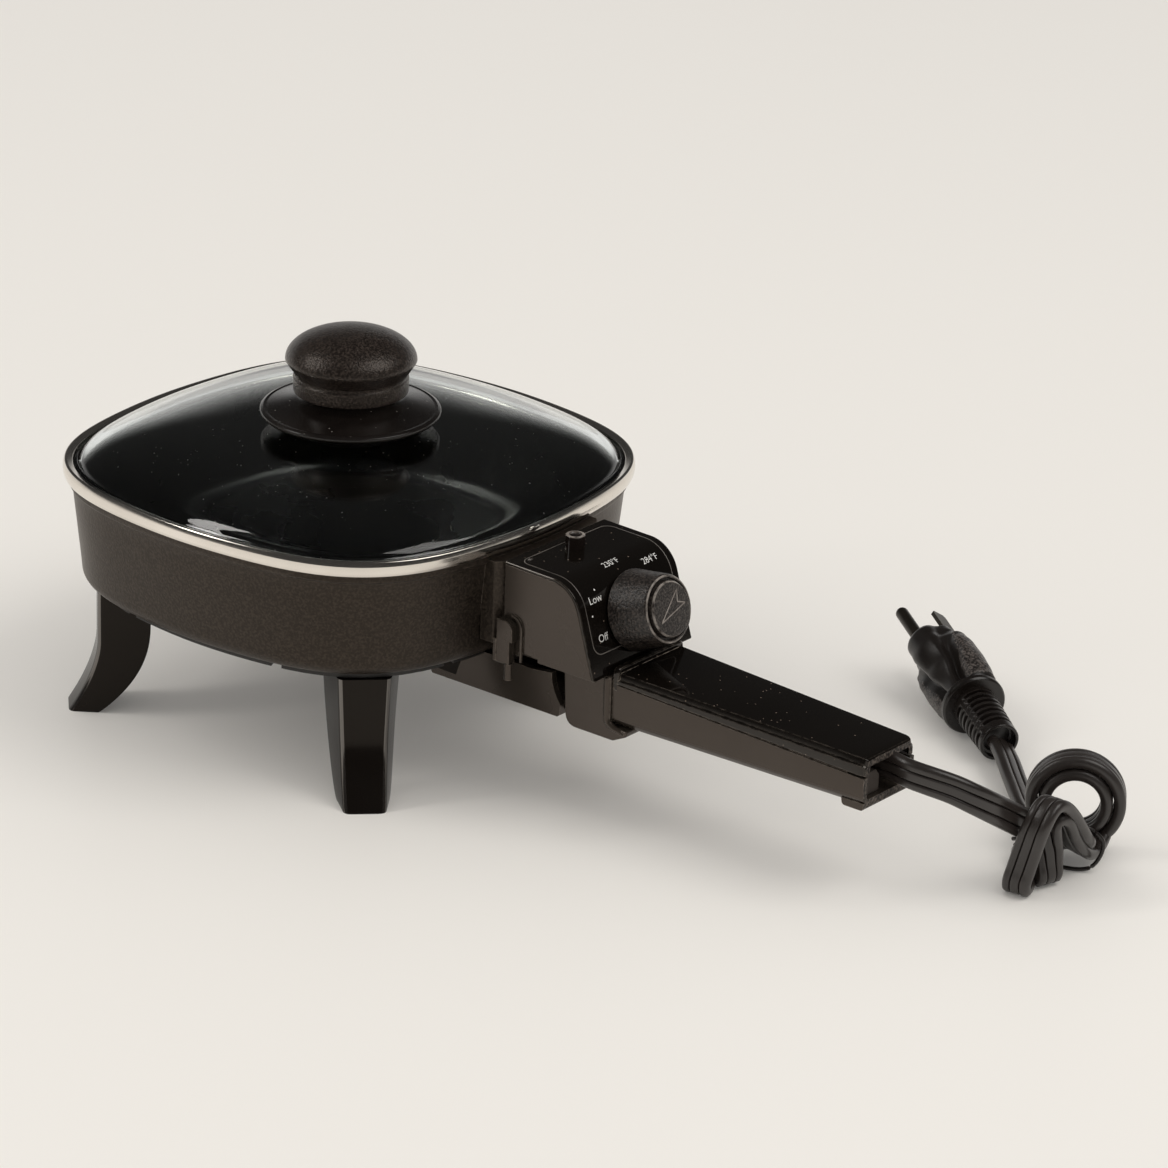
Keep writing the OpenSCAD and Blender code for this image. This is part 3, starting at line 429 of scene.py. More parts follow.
satin_brown = finish_of(
    "satin brown-black", (0.021, 0.017, 0.0132), (0.03, 0.0245, 0.0195), (0.2, 0.3), patch=24,
    grain=1700, bump=0.14, edge=0.6, edge_colour=(0.3, 0.255, 0.21), ior=1.57,
    gloss_tint=(1, 0.84, 0.74),
)
knob_black = finish_of(
    "knob satin", (0.0085, 0.006, 0.0048), (0.036, 0.027, 0.022), (0.27, 0.38), patch=40,
    grain=1250, bump=1.0, lift=0.0002, grain_tone=True, specks=0.3, speck_scale=500, edge=0.25,
    edge_colour=(0.1, 0.085, 0.075), gloss_tint=(1, 0.9, 0.82),
)
skirt_black = finish_of(
    "skirt satin", (0.0055, 0.0042, 0.0036), (0.012, 0.0095, 0.008), (0.16, 0.28), patch=50,
    grain=1800, bump=0.4, lift=0.00006, specks=0.5, speck_scale=420, speck_size=0.08,
    edge=0.3, edge_colour=(0.16, 0.135, 0.115),
)
dial_grain = finish_of(
    "dial texture", (0.0075, 0.0055, 0.0045), (0.048, 0.038, 0.032), (0.28, 0.4), grain=1150, bump=1.0,
    lift=0.0003, grain_tone=True, edge=0.7, edge_colour=(0.24, 0.205, 0.175), edge_width=0.0006,
)
disc_grain = finish_of(
    "dial disc", (0.012, 0.009, 0.0075), (0.062, 0.051, 0.044), (0.3, 0.44), grain=1250, bump=1.0,
    lift=0.0003, grain_tone=True, edge=0.8, edge_colour=(0.28, 0.24, 0.205), edge_width=0.0006,
)
pointer_line = finish_of(
    "pointer line", (0.12, 0.1, 0.088), (0.36, 0.32, 0.285), (0.3, 0.45), patch=300, bump=0.2,
)
rubber_black = finish_of(
    "cord rubber", (0.016, 0.0125, 0.0107), (0.029, 0.0233, 0.0205), (0.27, 0.38), patch=60,
    grain=1500, bump=0.2, specks=0.25, speck_scale=600, ior=1.6,
)
plug_rubber = finish_of(
    "plug rubber", (0.0075, 0.0055, 0.0045), (0.0125, 0.0096, 0.0082), (0.24, 0.36), patch=60,
    grain=1200, bump=0.2, edge=0.3, edge_colour=(0.12, 0.1, 0.09),
)
grip_rubber = finish_of(
    "plug grip texture", (0.012, 0.009, 0.0078), (0.105, 0.088, 0.078), (0.3, 0.5), grain=1150,
    bump=1.0, lift=0.0004, grain_tone=True,
)
blade_brass = finish_of(
    "blade metal", (0.02, 0.016, 0.0125), (0.045, 0.036, 0.026), (0.25, 0.4), metal=0.7, grain=900,
    bump=0.1, edge=0.35, edge_colour=(0.75, 0.62, 0.42),
)
element_steel = finish_of(
    "element steel", (0.16, 0.14, 0.12), (0.24, 0.22, 0.2), (0.35, 0.5), metal=0.8, bump=0.3,
)
frame_black = finish_of(
    "frame paint", (0.008, 0.007, 0.006), (0.013, 0.0115, 0.01), (0.38, 0.5), bump=0.3,
    edge=0.3, edge_colour=(0.1, 0.09, 0.08),
)
plain_steel = finish_of(
    "screw steel", (0.45, 0.44, 0.42), (0.55, 0.54, 0.52), (0.25, 0.4), metal=1.0, bump=0.15,
)
washer_rubber = finish_of(
    "washer rubber", (0.015, 0.014, 0.013), (0.022, 0.021, 0.02), (0.5, 0.6), bump=0.3,
)
switch_cream = finish_of(
    "switch body", (0.6, 0.55, 0.45), (0.66, 0.61, 0.52), (0.45, 0.6), bump=0.2,
)
lens_dark = finish_of(
    "lamp lens", (0.006, 0.0042, 0.0036), (0.01, 0.007, 0.006), (0.06, 0.12), bump=0.05,
    edge=0.7, edge_colour=(0.4, 0.34, 0.3),
)
# A pale colour laid on the lamp's lip and the dial's rims: a painted highlight.
painted_rim_highlight = finish_of(
    "painted rim highlight", (0.02, 0.016, 0.014), (0.34, 0.3, 0.265), (0.22, 0.36), patch=300, bump=0.2,
)
print_white = finish_of(
    "printed marks", (0.78, 0.77, 0.74), (0.7, 0.69, 0.66), (0.4, 0.5), grain=3000, bump=0.1,
)
line_grey = finish_of(
    "panel line", (0.05, 0.045, 0.04), (0.14, 0.125, 0.11), (0.2, 0.3), patch=90, bump=0.1,
)
jaw_black = finish_of(
    "jaw plastic", (0.035, 0.029, 0.025), (0.06, 0.05, 0.043), (0.3, 0.42), bump=0.3, edge=0.5,
    edge_colour=(0.16, 0.135, 0.115),
)
cut_edge = finish_of(
    "cut edge", (0.012, 0.0095, 0.008), (0.12, 0.098, 0.082), (0.35, 0.55), patch=500, grain=900,
    bump=1.0, lift=0.00035, grain_tone=True,
)
lid_clear = clear_glass()
ring_steel = brushed_band()
pale_floor = finish_of(
    "floor", (0.8, 0.775, 0.735), (0.785, 0.76, 0.72), (0.4, 0.45), patch=2, bump=0.0,
)


def lift_floor(amount):
    """Makes the floor a little paler where the camera and gloss see it, shadows and all."""
    tree = pale_floor.node_tree
    path = node(tree, "LightPath").outputs
    seen = worked(tree, "MAXIMUM", path["Is Camera Ray"], path["Is Glossy Ray"])
    fill(tree, tree.nodes["Principled BSDF"], {
        "Emission Color": (1, 0.975, 0.93, 1),
        "Emission Strength": worked(tree, "MULTIPLY", seen, amount),
    })


lift_floor(0.07)


# ---------- cord: one flat lead, tied in two loops ----------

SIDE_RING_AT = Vector((195.3, 73.6, 18.8))
SIDE_RING_TURN = math.radians(34)


def side_ring(start, end, r_start, r_end, steps, off_start=0.0, off_end=0.0):
    """Points round the standing ring, with the flat cord's width along the ring's axis."""
    along = Vector((math.cos(SIDE_RING_TURN), math.sin(SIDE_RING_TURN), 0))
    across = Vector((math.sin(SIDE_RING_TURN), -math.cos(SIDE_RING_TURN), 0))
    points = []
    for i in range(steps + 1):
        t = i / steps
        turn = math.radians(start + (end - start) * t)
        r = r_start + (r_end - r_start) * t
        off = off_start + (off_end - off_start) * t
        at = SIDE_RING_AT + along * r * math.cos(turn) + across * off
        at.z += r * math.sin(turn)
        points.append((at, across))
    return points


def held(rows):
    """Listed points: each is x, y, z, and then the way that the cord's width is turned there."""
    return [(Vector(row[:3]), Vector(row[3:])) for row in rows]


CORD_ROUTE = (
    held([
        (156, 3, 46, 0, 0, 1), (162, 3, 46, 0, 0, 1), (168, 3, 46, 0, 0, 1),
        (173.6, 1.9, 46, 0, 0, 1), (178, 2.2, 45.6, 0, 0, 1), (183, 4, 44.6, 0, 0, 1),
        (189.3, 8.2, 42.2, 0, 0, 1), (194.3, 13.2, 38.6, 0, 0, 1), (197.4, 19.6, 34.2, 0, 0, 1),
        (198.9, 27.2, 29.2, 0, 0, 1), (200.3, 35, 24, 0, 0, 1), (201.2, 42.5, 18.8, 0, 0, 1),
        (201.4, 50, 14.4, 0.1, 0.2, 1), (200.6, 57, 11, 0.4, -0.2, 0.8),
        (198.6, 64.5, 8.8, 0.55, -0.6, 0.4), (197, 70, 8.2, 0.6, -0.75, 0.2),
    ])
    + side_ring(-66, 195, 10.7, 10.9, 13, 1.2, 0)
    + held([
        (189, 63.6, 13.2, 0.7, -0.7, 0), (191, 58, 10.8, 0.85, -0.5, 0),
        (194, 52, 8.4, 0.95, -0.35, 0), (197, 47, 6.9, 0.8, 0.2, 0), (200.3, 44.2, 6, 0.6, 0.6, 0),
        (203.6, 42.8, 4.4, 0.3, 0.95, 0), (206.2, 42, 2.7, 0.3, 0.95, 0),
        (207.5, 41.7, 4.6, 0.3, 0.95, 0), (207, 41.7, 8.6, 0.42, 0.9, 0),
        (206.6, 41.5, 14, 0.62, 0.78, 0), (206.6, 40.3, 19.5, 0.85, 0.5, 0),
        (207, 40, 24.3, 1, 0.1, 0), (208, 41.4, 26.6, 1, 0, 0), (208.7, 45, 25, 1, 0, 0),
        (207.8, 51, 17.4, 1, 0, 0), (207.1, 56.6, 11, 1, -0.1, 0), (206.2, 62.6, 6.8, 0.9, -0.3, 0),
        (205.2, 68.4, 5, 0.8, -0.5, 0),
    ])
    + side_ring(-52, 196, 15.3, 15.5, 13, 0.6, 0)
    + held([
        (183.6, 60.6, 9.6, 0.65, -0.75, 0), (187.4, 56.4, 6.2, 0.8, -0.6, 0),
        (191.5, 50.6, 3.6, 0.9, 0.3, 0), (195.5, 43.6, 2.4, 0.88, 0.47, 0),
        (199.3, 36.6, 2.4, 0.93, 0.36, 0), (202, 31.9, 2.4, 1, 0.15, 0),
        (203.2, 28.8, 2.9, 1, 0.1, 0), (203.7, 27.8, 5.6, 1, 0.08, 0),
        (204.5, 28.6, 10, 1, 0.08, 0), (206.4, 29.2, 17.6, 1, 0.05, 0),
        (208.3, 29.6, 24.5, 1, 0, 0), (209.4, 31.2, 29.4, 1, 0, 0), (209.5, 34.4, 32.4, 1, 0, 0),
        (209.6, 37.4, 33.4, 1, 0, 0), (209.7, 41.5, 31.8, 1, 0, 0), (209.7, 46, 27.8, 1, 0, 0),
        (209.5, 51, 22, 1, 0, 0), (209, 56.2, 15.8, 1, -0.1, 0), (207, 61, 11.6, 0.9, -0.3, 0.2),
        (202.4, 64.2, 8.6, 0.5, -0.7, 0.4), (196.5, 64.2, 5.4, 0.1, -0.9, 0.3),
        (190.5, 63.8, 3.1, -0.3, -0.95, 0), (184.8, 67, 2.8, -0.6, -0.8, 0),
        (179.2, 72.2, 4, -0.6, -0.75, 0.25), (173.2, 77.9, 5.1, -0.5, -0.7, 0.45),
        (166.5, 84.2, 5.2, -0.5, -0.7, 0.5), (159.5, 91, 5.6, -0.5, -0.7, 0.5),
        (151.6, 98.6, 6.3, -0.5, -0.7, 0.5), (143, 107, 7.1, -0.49, -0.72, 0.5),
        (134.2, 114.8, 7.7, -0.49, -0.72, 0.5),
    ])
)


def smooth_route(route, step=1.1):
    """A smooth line through the route, with its width directions square to it."""
    points, widths = [], []
    last = len(route) - 1
    for i in range(last):
        p1, p2 = route[i][0], route[i + 1][0]
        p0, p3 = route[max(i - 1, 0)][0], route[min(i + 2, last)][0]
        gap = (p2 - p1).length
        lean_1 = (p2 - p0) / ((p1 - p0).length + gap) * gap if i else p2 - p1
        lean_2 = (p3 - p1) / ((p3 - p2).length + gap) * gap if i < last - 1 else p2 - p1
        count = max(2, round(gap / step))
        for k in range(count):
            t = k / count
            points.append(
                p1 * (2 * t ** 3 - 3 * t ** 2 + 1) + lean_1 * (t ** 3 - 2 * t ** 2 + t)
                + p2 * (3 * t ** 2 - 2 * t ** 3) + lean_2 * (t ** 3 - t ** 2)
            )
            widths.append(route[i][1].normalized().lerp(route[i + 1][1].normalized(), t))
    points.append(route[last][0])
    widths.append(route[last][1].normalized())
    ways = [
        (points[min(i + 1, len(points) - 1)] - points[max(i - 1, 0)]).normalized()
        for i in range(len(points))
    ]
    widths = [(w - w.dot(way) * way).normalized() for w, way in zip(widths, ways)]
    return points, ways, widths


def cord_section():
    """Three cores side by side: a flat section with two grooves on each face."""
    half, thick, groove_at = CORD_W / 2, CORD_T / 2, 1.85
    right = [0, 0.6, 1.1, 1.45, 1.65, 1.76, 1.85, 1.94, 2.05, 2.3, 2.8, 3.5, 4.1, 4.6, 4.95, 5.2, half]
    top = []
    for across in right[::-1] + [-x for x in right[1:]]:
        out = abs(across)
        edge = max(0, (out - 3.3) / (half - 3.3))
        groove = 0.9 * math.exp(-((out - groove_at) / 0.2) ** 2)
        crown = 0.12 * ((out - 3.6) / 1.7 if out > groove_at else across / 1.8) ** 2
        height = thick * math.sqrt(max(0, 1 - edge ** 2.3)) - groove - crown * (1 - edge)
        top.append((across, max(0, height)))
    return top + [(a, -b) for a, b in reversed(top[1:-1])]


def flat_cord():
    points, ways, widths = smooth_route(CORD_ROUTE)
    section = cord_section()
    loops = []
    for point, way, width in zip(points, ways, widths):
        up = way.cross(width)
        loops.append([tuple(point + width * a + up * b) for a, b in section])
    cord = piece(
        "flat_cord", loft(loops), "skillet", rubber_black,
        ("cord_lead", "cord_loop_front", "cord_loop_side", "cord_tail"), sharp=60,
    )
    length = sum((b - a).length for a, b in zip(points, points[1:]))
    return cord, points, length


cord, cord_line, cord_length = flat_cord()


# ---------- pan ----------

def pan_profile():
    """Half-width and height, from the underside over the rim to the cooking floor."""
    bottom = PAN_HALF - PAN_DRAFT
    inner = bottom - PAN_WALL
    floor_z = PAN_BASE_Z + PAN_FLOOR_T
    seat = RING_HALF - RING_LIP - RING_T - 0.3
    heel_r, floor_r, steps = 5.7, 6, 8
    wall_z, wall_h = PAN_BASE_Z + 6, 30.4
    wall = [(bottom + PAN_DRAFT * k / steps, wall_z + wall_h * k / steps) for k in range(1, steps)]
    bead = [(0, -4), (0.2, -3.3), (0.8, -2.9), (1.1, -2.4), (1.1, -0.4), (0.7, 0)]
    return (
        arc((bottom - heel_r, PAN_BASE_Z + heel_r), heel_r, -90, -4, 12) + wall
        + [(PAN_HALF + out, PAN_RIM_Z + up) for out, up in bead]
        + [(seat, PAN_RIM_Z), (seat - 0.2, PAN_RIM_Z + 0.6), (inner, PAN_RIM_Z + 0.6)]
        + arc((inner - 1.5 - floor_r, floor_z + floor_r), floor_r, -2, -90, 10)
    )


def handle_pad():
    """The cast pad that the control box is screwed to."""
    half, front, back = BOX_HALF + 1, BOX_X - 0.3, PAN_HALF - 3.6
    cut_x, cut_y = 3.6, 4
    outline = rounded([
        (back, -half, 0), (front - cut_x, -half, 1), (front, cut_y - half, 1.5),
        (front, half - cut_y, 1.5), (front - cut_x, half, 1), (back, half, 0),
    ])
    return shift(pushed(outline, BOX_Z + 2.4, PAN_RIM_Z - 1.6, "xy"), PAN_X)


def make_pan():
    r, low, top = 4.5, 34.05, PAN_BASE_Z + 1
    stud = turned([(0, low), (r - 0.2, low), (r, low + 0.25), (r, top), (0, top)], 40)
    studs = [shift(stud, PAN_X + x) for x in (66, 84)]
    coated_half = 85.2

    def inside(centre, normal):
        from_middle = math.hypot(centre.x - PAN_X, centre.y)
        wall = rim_r(coated_half, math.atan2(centre.y, centre.x - PAN_X))
        return int(centre.z > PAN_BASE_Z + 3 and from_middle < wall and (
            normal.z > 0.3 or normal.dot(Vector((PAN_X - centre.x, -centre.y, 0))) > 0
        ))

    piece(
        "pan_body", joined(rim_skin(pan_profile()), handle_pad(), *studs), "skillet",
        [pan_coat, non_stick], ("pan",), paint=inside,
    )


make_pan()


# ---------- legs ----------

LEG_OUT = 90.7
LEG_TOP_Z = 46.5
LEG_DEPTH = 19
LEG_WALL = 2.6
FOOT_DEPTH = 10.8
FLARE = 10.4
FLARE_Z = 27


def leg_out(z):
    return LEG_OUT + FLARE * max(0, 1 - z / FLARE_Z) ** 1.7


def leg_section(z, solid):
    """The leg's plan at a height: a channel that is open behind, or closed near the top."""
    at_top, at_foot = LEG_OUT - LEG_DEPTH, leg_out(0) - FOOT_DEPTH
    inner = at_top + (at_foot - at_top) * max(0, 1 - z / 36) ** 2.35
    outer = leg_out(z)
    up = z / LEG_TOP_Z
    face = (14.6 + 3.4 * up) / 2
    back = face + 1.6 + 3.2 * max(up, 0) ** 0.42
    wall = LEG_WALL
    if solid:
        corners = [(inner, back, 0.3), (inner, -back, 0.3), (outer, -face, 3), (outer, face, 3)]
        return rounded(corners, 7)
    return rounded([
        (inner, back, 0.5), (inner, back - wall, 0.5), (outer - wall, face - wall * 0.8, 1.6),
        (outer - wall, -face + wall * 0.8, 1.6), (inner, -back + wall, 0.5), (inner, -back, 0.5),
        (outer, -face, 3), (outer, face, 3),
    ], 7)


def make_leg(name, turn):
    roof, steps = LEG_TOP_Z - 4.4, 26
    levels = [roof * (k / steps) ** 1.25 for k in range(steps + 1)]
    skins = []
    for heights, solid in ((levels, False), ([roof, LEG_TOP_Z - 0.4, LEG_TOP_Z], True)):
        skins.append(loft([[(x, y, z) for x, y in leg_section(z, solid)] for z in heights]))
    part = moved(joined(*skins), Matrix.Translation((PAN_X, 0, 0)) @ Matrix.Rotation(turn, 4, "Z"))
    out = Vector((math.cos(turn), math.sin(turn)))

    # Faces on the rounded corners take the painted highlight copy of the leg's black.
    def corner_highlight(centre, normal):
        flat = Vector((normal.x, normal.y))
        return int(flat.length > 0.3 and 0.5 < flat.normalized().dot(out) < 0.96)

    piece(
        name + "_shell", part, "skillet", [leg_black, leg_corner_highlight], (name,), sharp=40,
        paint=corner_highlight,
    )


for leg_name, quarter in (
    ("leg_front_left", 225), ("leg_front_right", 315), ("leg_back_left", 135), ("leg_back_right", 45)
):
    make_leg(leg_name, math.radians(quarter))


# ---------- lid ----------

NECK_Z = 120.4
KNOB_BORE = 2.2


def dome_z(half):
    """Height of the glass's upper face at a half-width."""
    rise = max(0, 1 - (half / LEDGE_HALF) ** 3) ** 0.55
    return GLASS_Z + GLASS_T + (DOME_TOP_Z - GLASS_Z - GLASS_T) * rise


def make_glass():
    """A domed sheet with a flat flange, and a hole for the knob's screw."""
    hole, steps = 4, 30
    shares = [1 - 0.999 * (k / steps) ** 1.8 for k in range(steps + 1)]
    halves = [max(LEDGE_HALF * s * 0.9995, hole) for s in shares if LEDGE_HALF * s > hole + 0.4]
    halves.append(hole)
    top = [(h, dome_z(h)) for h in halves]
    under = [
        (max(h - GLASS_T * 0.55 * h / LEDGE_HALF, hole), max(GLASS_Z, dome_z(h) - GLASS_T))
        for h in reversed(halves)
    ]
    half, top_z = RING_HALF - 0.9, GLASS_Z + GLASS_T
    flange = [
        (half - 0.8, GLASS_Z), (half - 0.2, GLASS_Z + 0.3), (half, GLASS_Z + 0.9),
        (half, top_z - 0.9), (half - 0.2, top_z - 0.3), (half - 0.8, top_z), (LEDGE_HALF + 0.6, top_z),
    ]
    piece(
        "glass_dome", rim_skin(flange + top + under, closed=True), "lid", lid_clear,
        ("lid_glass",), sharp=50,
    )


def make_band():
    """The steel rim: a rolled face, a lip over the glass and a lip below it."""
    lip_z = GLASS_Z + GLASS_T + 0.1
    inner, lip = RING_HALF - RING_T, RING_HALF - RING_LIP
    outline = rounded([
        (RING_HALF - 0.55, RING_Z, 0.3), (RING_HALF - 0.12, RING_Z + 1.2, 0.6),
        (RING_HALF, RING_Z + 2.4, 1), (RING_HALF - 0.06, RING_Z + 3.8, 0.8),
        (RING_HALF - 0.5, RING_TOP_Z, 0.9), (RING_HALF - 1.4, RING_TOP_Z, 0.6),
        (RING_HALF - 3.2, lip_z + 0.7, 0.5), (RING_HALF - 3.5, lip_z, 0.15), (inner, lip_z, 0.3),
        (inner, RING_Z + RING_T, 0.2), (lip, RING_Z + RING_T, 0.1), (lip, RING_Z, 0.1),
    ], 3)
    piece(
        "steel_band", rim_skin(outline, closed=True), "lid", ring_steel, ("lid_ring",),
        sharp=40,
    )


def make_seam():
    """The small swelling where the ends of the steel band meet."""
    start, sweep, steps = -6.1, 3.2, 12
    inner, low = RING_HALF - 1.5, RING_TOP_Z - 1.4
    loops = []
    for k in range(steps + 1):
        turn = math.radians(start + sweep * k / steps)
        swell = 0.45 * math.sin(math.pi * k / steps) ** 0.6
        outline = rounded([
            (inner, low, 0.2), (RING_HALF - 0.2 + swell, low, 0.3),
            (RING_HALF - 0.35 + swell, RING_TOP_Z - 0.15 + swell, 0.5),
            (inner, RING_TOP_Z - 0.1 + swell, 0.3),
        ], 3)
        loops.append([rim_point(h, turn, z) for h, z in outline])
    piece("band_seam", loft(loops), "lid", ring_steel, sharp=40)


def make_heat_shield():
    low = 107.4
    rim_z, top = low + 4.4, NECK_Z - 0.4
    outline = rounded([
        (KNOB_BORE, low, 0), (9, low, 0.3), (9, low + 6, 0.3), (20, low + 4.5, 0.5),
        (21.5, low, 0.3), (24, low, 0.6), (27, low + 2, 2), (31.8, rim_z - 0.1, 0.5),
        (32.5, rim_z + 0.6, 0.4), (32.4, rim_z + 1.7, 0.5), (31.2, rim_z + 2.3, 0.4),
        (30.2, rim_z + 2.2, 0.4), (18.4, low + 9.7, 4), (15.6, top, 0.4), (KNOB_BORE, top, 0),
    ])
    piece(
        "heat_shield", shift(turned(outline, 160), PAN_X), "lid", skirt_black,
        ("knob_skirt",), sharp=40,
    )


def make_knob():
    """A stem that widens into a low round cap."""
    cap_z, cap_r, cap_h = 132.2, 23.6, 11.2
    stem = rounded([
        (0, NECK_Z + 9, 0), (KNOB_BORE, NECK_Z + 9, 0), (KNOB_BORE, NECK_Z, 0), (20.6, NECK_Z, 0.5),
        (20.8, NECK_Z + 5.2, 0.4), (20.3, NECK_Z + 5.9, 0.3), (20.4, NECK_Z + 7, 1),
        (21.2, cap_z - 3.6, 2), (cap_r - 0.6, cap_z - 0.9, 0.5),
    ], 5, closed=False)
    turns = [math.radians(a) for a in range(0, 90, 4)]
    cap = [(cap_r * math.cos(a), cap_z + cap_h * math.sin(a)) for a in turns]
    piece(
        "knob_cap", shift(turned(stem + cap + [(0, cap_z + cap_h)], 160), PAN_X), "lid",
        knob_black, ("lid_knob",), sharp=38,
    )


make_glass()
make_band()
make_seam()
make_heat_shield()
make_knob()


# ---------- control box ----------

FACE_OUT = Vector((math.cos(LEAN), math.sin(LEAN)))
CROWN_OUT = Vector((math.sin(CROWN), math.cos(CROWN)))
FACE_UP = Vector((-math.sin(LEAN), math.cos(LEAN)))
CROWN_BACK = Vector((-math.cos(CROWN), math.sin(CROWN)))
FACE_FOOT = Vector((BOX_FRONT, BOX_Z))
CROWN_D = CROWN_OUT.dot(Vector((BOX_X, BOX_Z + BOX_H)))


def bend_centre():
    """The centre of the bend between the panel's leaning face and its near-flat top."""
    d1, d2 = FACE_OUT.dot(FACE_FOOT) - BEND_R, CROWN_D - BEND_R
    n1, n2 = FACE_OUT, CROWN_OUT
    det = n1.x * n2.y - n1.y * n2.x
    return Vector(((d1 * n2.y - d2 * n1.y) / det, (n1.x * d2 - n2.x * d1) / det))


BEND_AT = bend_centre()
FACE_LEN = (BEND_AT + FACE_OUT * BEND_R - FACE_FOOT).dot(FACE_UP)
BEND_LEN = BEND_R * (math.pi / 2 - CROWN - LEAN)


def on_panel(up, y, lift=0.0):
    """A place on the panel: up its face from the foot, over the bend and back along the top."""
    if up < FACE_LEN:
        p = FACE_FOOT + FACE_UP * up + FACE_OUT * lift
    elif up < FACE_LEN + BEND_LEN:
        a = LEAN + (up - FACE_LEN) / BEND_R
        p = BEND_AT + Vector((math.cos(a), math.sin(a))) * (BEND_R + lift)
    else:
        p = BEND_AT + CROWN_OUT * (BEND_R + lift) + CROWN_BACK * (up - FACE_LEN - BEND_LEN)
    return Vector((p.x + PAN_X, y, p.y))


def box_line(off, steps=14):
    """Side profile of the panel, set in by off, from the back over the bend to the foot."""
    back = (CROWN_D - off - CROWN_OUT.x * BOX_X) / CROWN_OUT.y
    bend = arc(tuple(BEND_AT), BEND_R - off, 90 - math.degrees(CROWN), math.degrees(LEAN), steps)
    return [(BOX_X, back)] + bend + [(BOX_FRONT - off / FACE_OUT.x, BOX_Z)]


LUG_X = BOX_X - 0.4
LUG_Z = BOX_Z + 5.8


def make_box():
    """Two side walls, a core between them, and a raised guide round each lug."""
    wall, notch_start, notch_end, notch_h = 2.2, 7, 15.5, 1.6
    side = box_line(1.25) + [
        (BOX_X + notch_end, BOX_Z), (BOX_X + notch_end, BOX_Z + notch_h),
        (BOX_X + notch_start, BOX_Z + notch_h), (BOX_X + notch_start, BOX_Z),
        (BOX_X + 0.4, BOX_Z), (BOX_X, BOX_Z + 2),
    ]
    middle = box_line(2.1) + [(BOX_X, BOX_Z)]
    walls = [pushed(side, s * BOX_HALF, s * (BOX_HALF - wall)) for s in (-1, 1)]
    core = pushed(middle, wall - BOX_HALF, BOX_HALF - wall)
    at, low = (LUG_X + 4.4, LUG_Z + 4.5), LUG_Z - 7.5
    guide = (
        [(LUG_X + 9.4, low)] + arc(at, 5, 0, 90, 8) + arc(at, 4, 90, 0, 8) + [(LUG_X + 8.4, low)]
    )
    guides = [pushed(guide, s * (BOX_HALF - 0.1), s * (BOX_HALF + 1)) for s in (-1, 1)]
    piece(
        "box_body", shift(joined(*walls, core, *guides), PAN_X), "skillet",
        satin_brown, ("control_box",), edge=0.3,
    )


def make_lugs():
    """A hook and its backing strip at each side of the box."""
    low, back = LUG_Z - 8.4, LUG_X - 1.6
    hook = (
        [(LUG_X, low), (LUG_X + 5.8, low), (LUG_X + 5.8, LUG_Z), (LUG_X + 7, LUG_Z)]
        + arc((LUG_X + 3.8, LUG_Z + 4.5), 3.2, 0, 90, 8) + [(LUG_X, LUG_Z + 7.8)]
    )
    strip = [(back, low), (LUG_X, low), (LUG_X, LUG_Z + 0.1), (back, LUG_Z + 0.1)]
    lugs = [
        pushed(outline, s * (BOX_HALF + 0.05), s * (BOX_HALF + 3.5))
        for s in (-1, 1) for outline in (hook, strip)
    ]
    piece(
        "lug_hooks", shift(joined(*lugs), PAN_X), "skillet", satin_brown,
        ("side_lugs",), edge=0.35,
    )


def make_panel():
    """The glossy sheet that wraps over the box, a little wider than it."""
    face, back, half = box_line(0, 24), box_line(1.2, 24), BOX_HALF + 0.3
    piece(
        "gloss_panel", shift(pushed(face + back[::-1], -half, half), PAN_X), "skillet",
        gloss_black, ("face_plate",), edge=0.55,
    )


make_box()
make_lugs()
make_panel()


def panel_line():
    """A fine pale line that borders the panel, with rounded corners."""
    half, low, high, r = 23.8, 8.4, FACE_LEN + BEND_LEN + 17.6, 4
    corners = (
        (half - r, low + r, -90), (half - r, high - r, 0),
        (r - half, high - r, 90), (r - half, low + r, 180),
    )
    course = []
    for y, up, start in corners:
        course += arc((y, up), r, start, start + 90, 9)
    dense = []
    for (y1, s1), (y2, s2) in zip(course, course[1:] + course[:1]):
        count = max(1, round(math.hypot(y2 - y1, s2 - s1)))
        dense += [(y1 + (y2 - y1) * k / count, s1 + (s2 - s1) * k / count) for k in range(count)]
    loops = []
    for i, (y, s) in enumerate(dense):
        y2, s2 = dense[(i + 1) % len(dense)]
        y0, s0 = dense[i - 1]
        way = Vector((y2 - y0, s2 - s0)).normalized()
        side = Vector((way.y, -way.x)) * 0.28
        loops.append([
            tuple(on_panel(s + side.y * k, y + side.x * k, lift))
            for k, lift in ((-1, -0.1), (-0.5, 0.06), (0.5, 0.06), (1, -0.1))
        ])
    piece("panel_line", loft(loops, closed=True), "skillet", line_grey, sharp=60)


PRINT_LIFT = 0.05


def printed(name, text, up, y, size):
    """A printed word or number that follows the panel."""
    curve = bpy.data.curves.new(name, "FONT")
    curve.body = text
    curve.size = size
    curve.align_x = curve.align_y = "CENTER"
    curve.resolution_u = 3
    curve.offset = -0.02
    holder = bpy.data.objects.new(name, curve)
    scene.collection.objects.link(holder)
    bpy.context.view_layer.update()
    ready = holder.evaluated_get(bpy.context.evaluated_depsgraph_get())
    flat = bpy.data.meshes.new_from_object(ready)
    bpy.data.objects.remove(holder)
    longest = 0.5
    fine = bmesh.new()
    fine.from_mesh(flat)
    bmesh.ops.triangulate(fine, faces=fine.faces)
    for _ in range(3):
        long_edges = [e for e in fine.edges if e.calc_length() > longest]
        bmesh.ops.subdivide_edges(fine, edges=long_edges, cuts=1)
        bmesh.ops.triangulate(fine, faces=fine.faces)
    fine.to_mesh(flat)
    fine.free()
    points = [on_panel(up + v.co.y, y + v.co.x, PRINT_LIFT) for v in flat.vertices]
    piece(
        name, (points, [tuple(f.vertices) for f in flat.polygons]), "skillet", print_white
    )


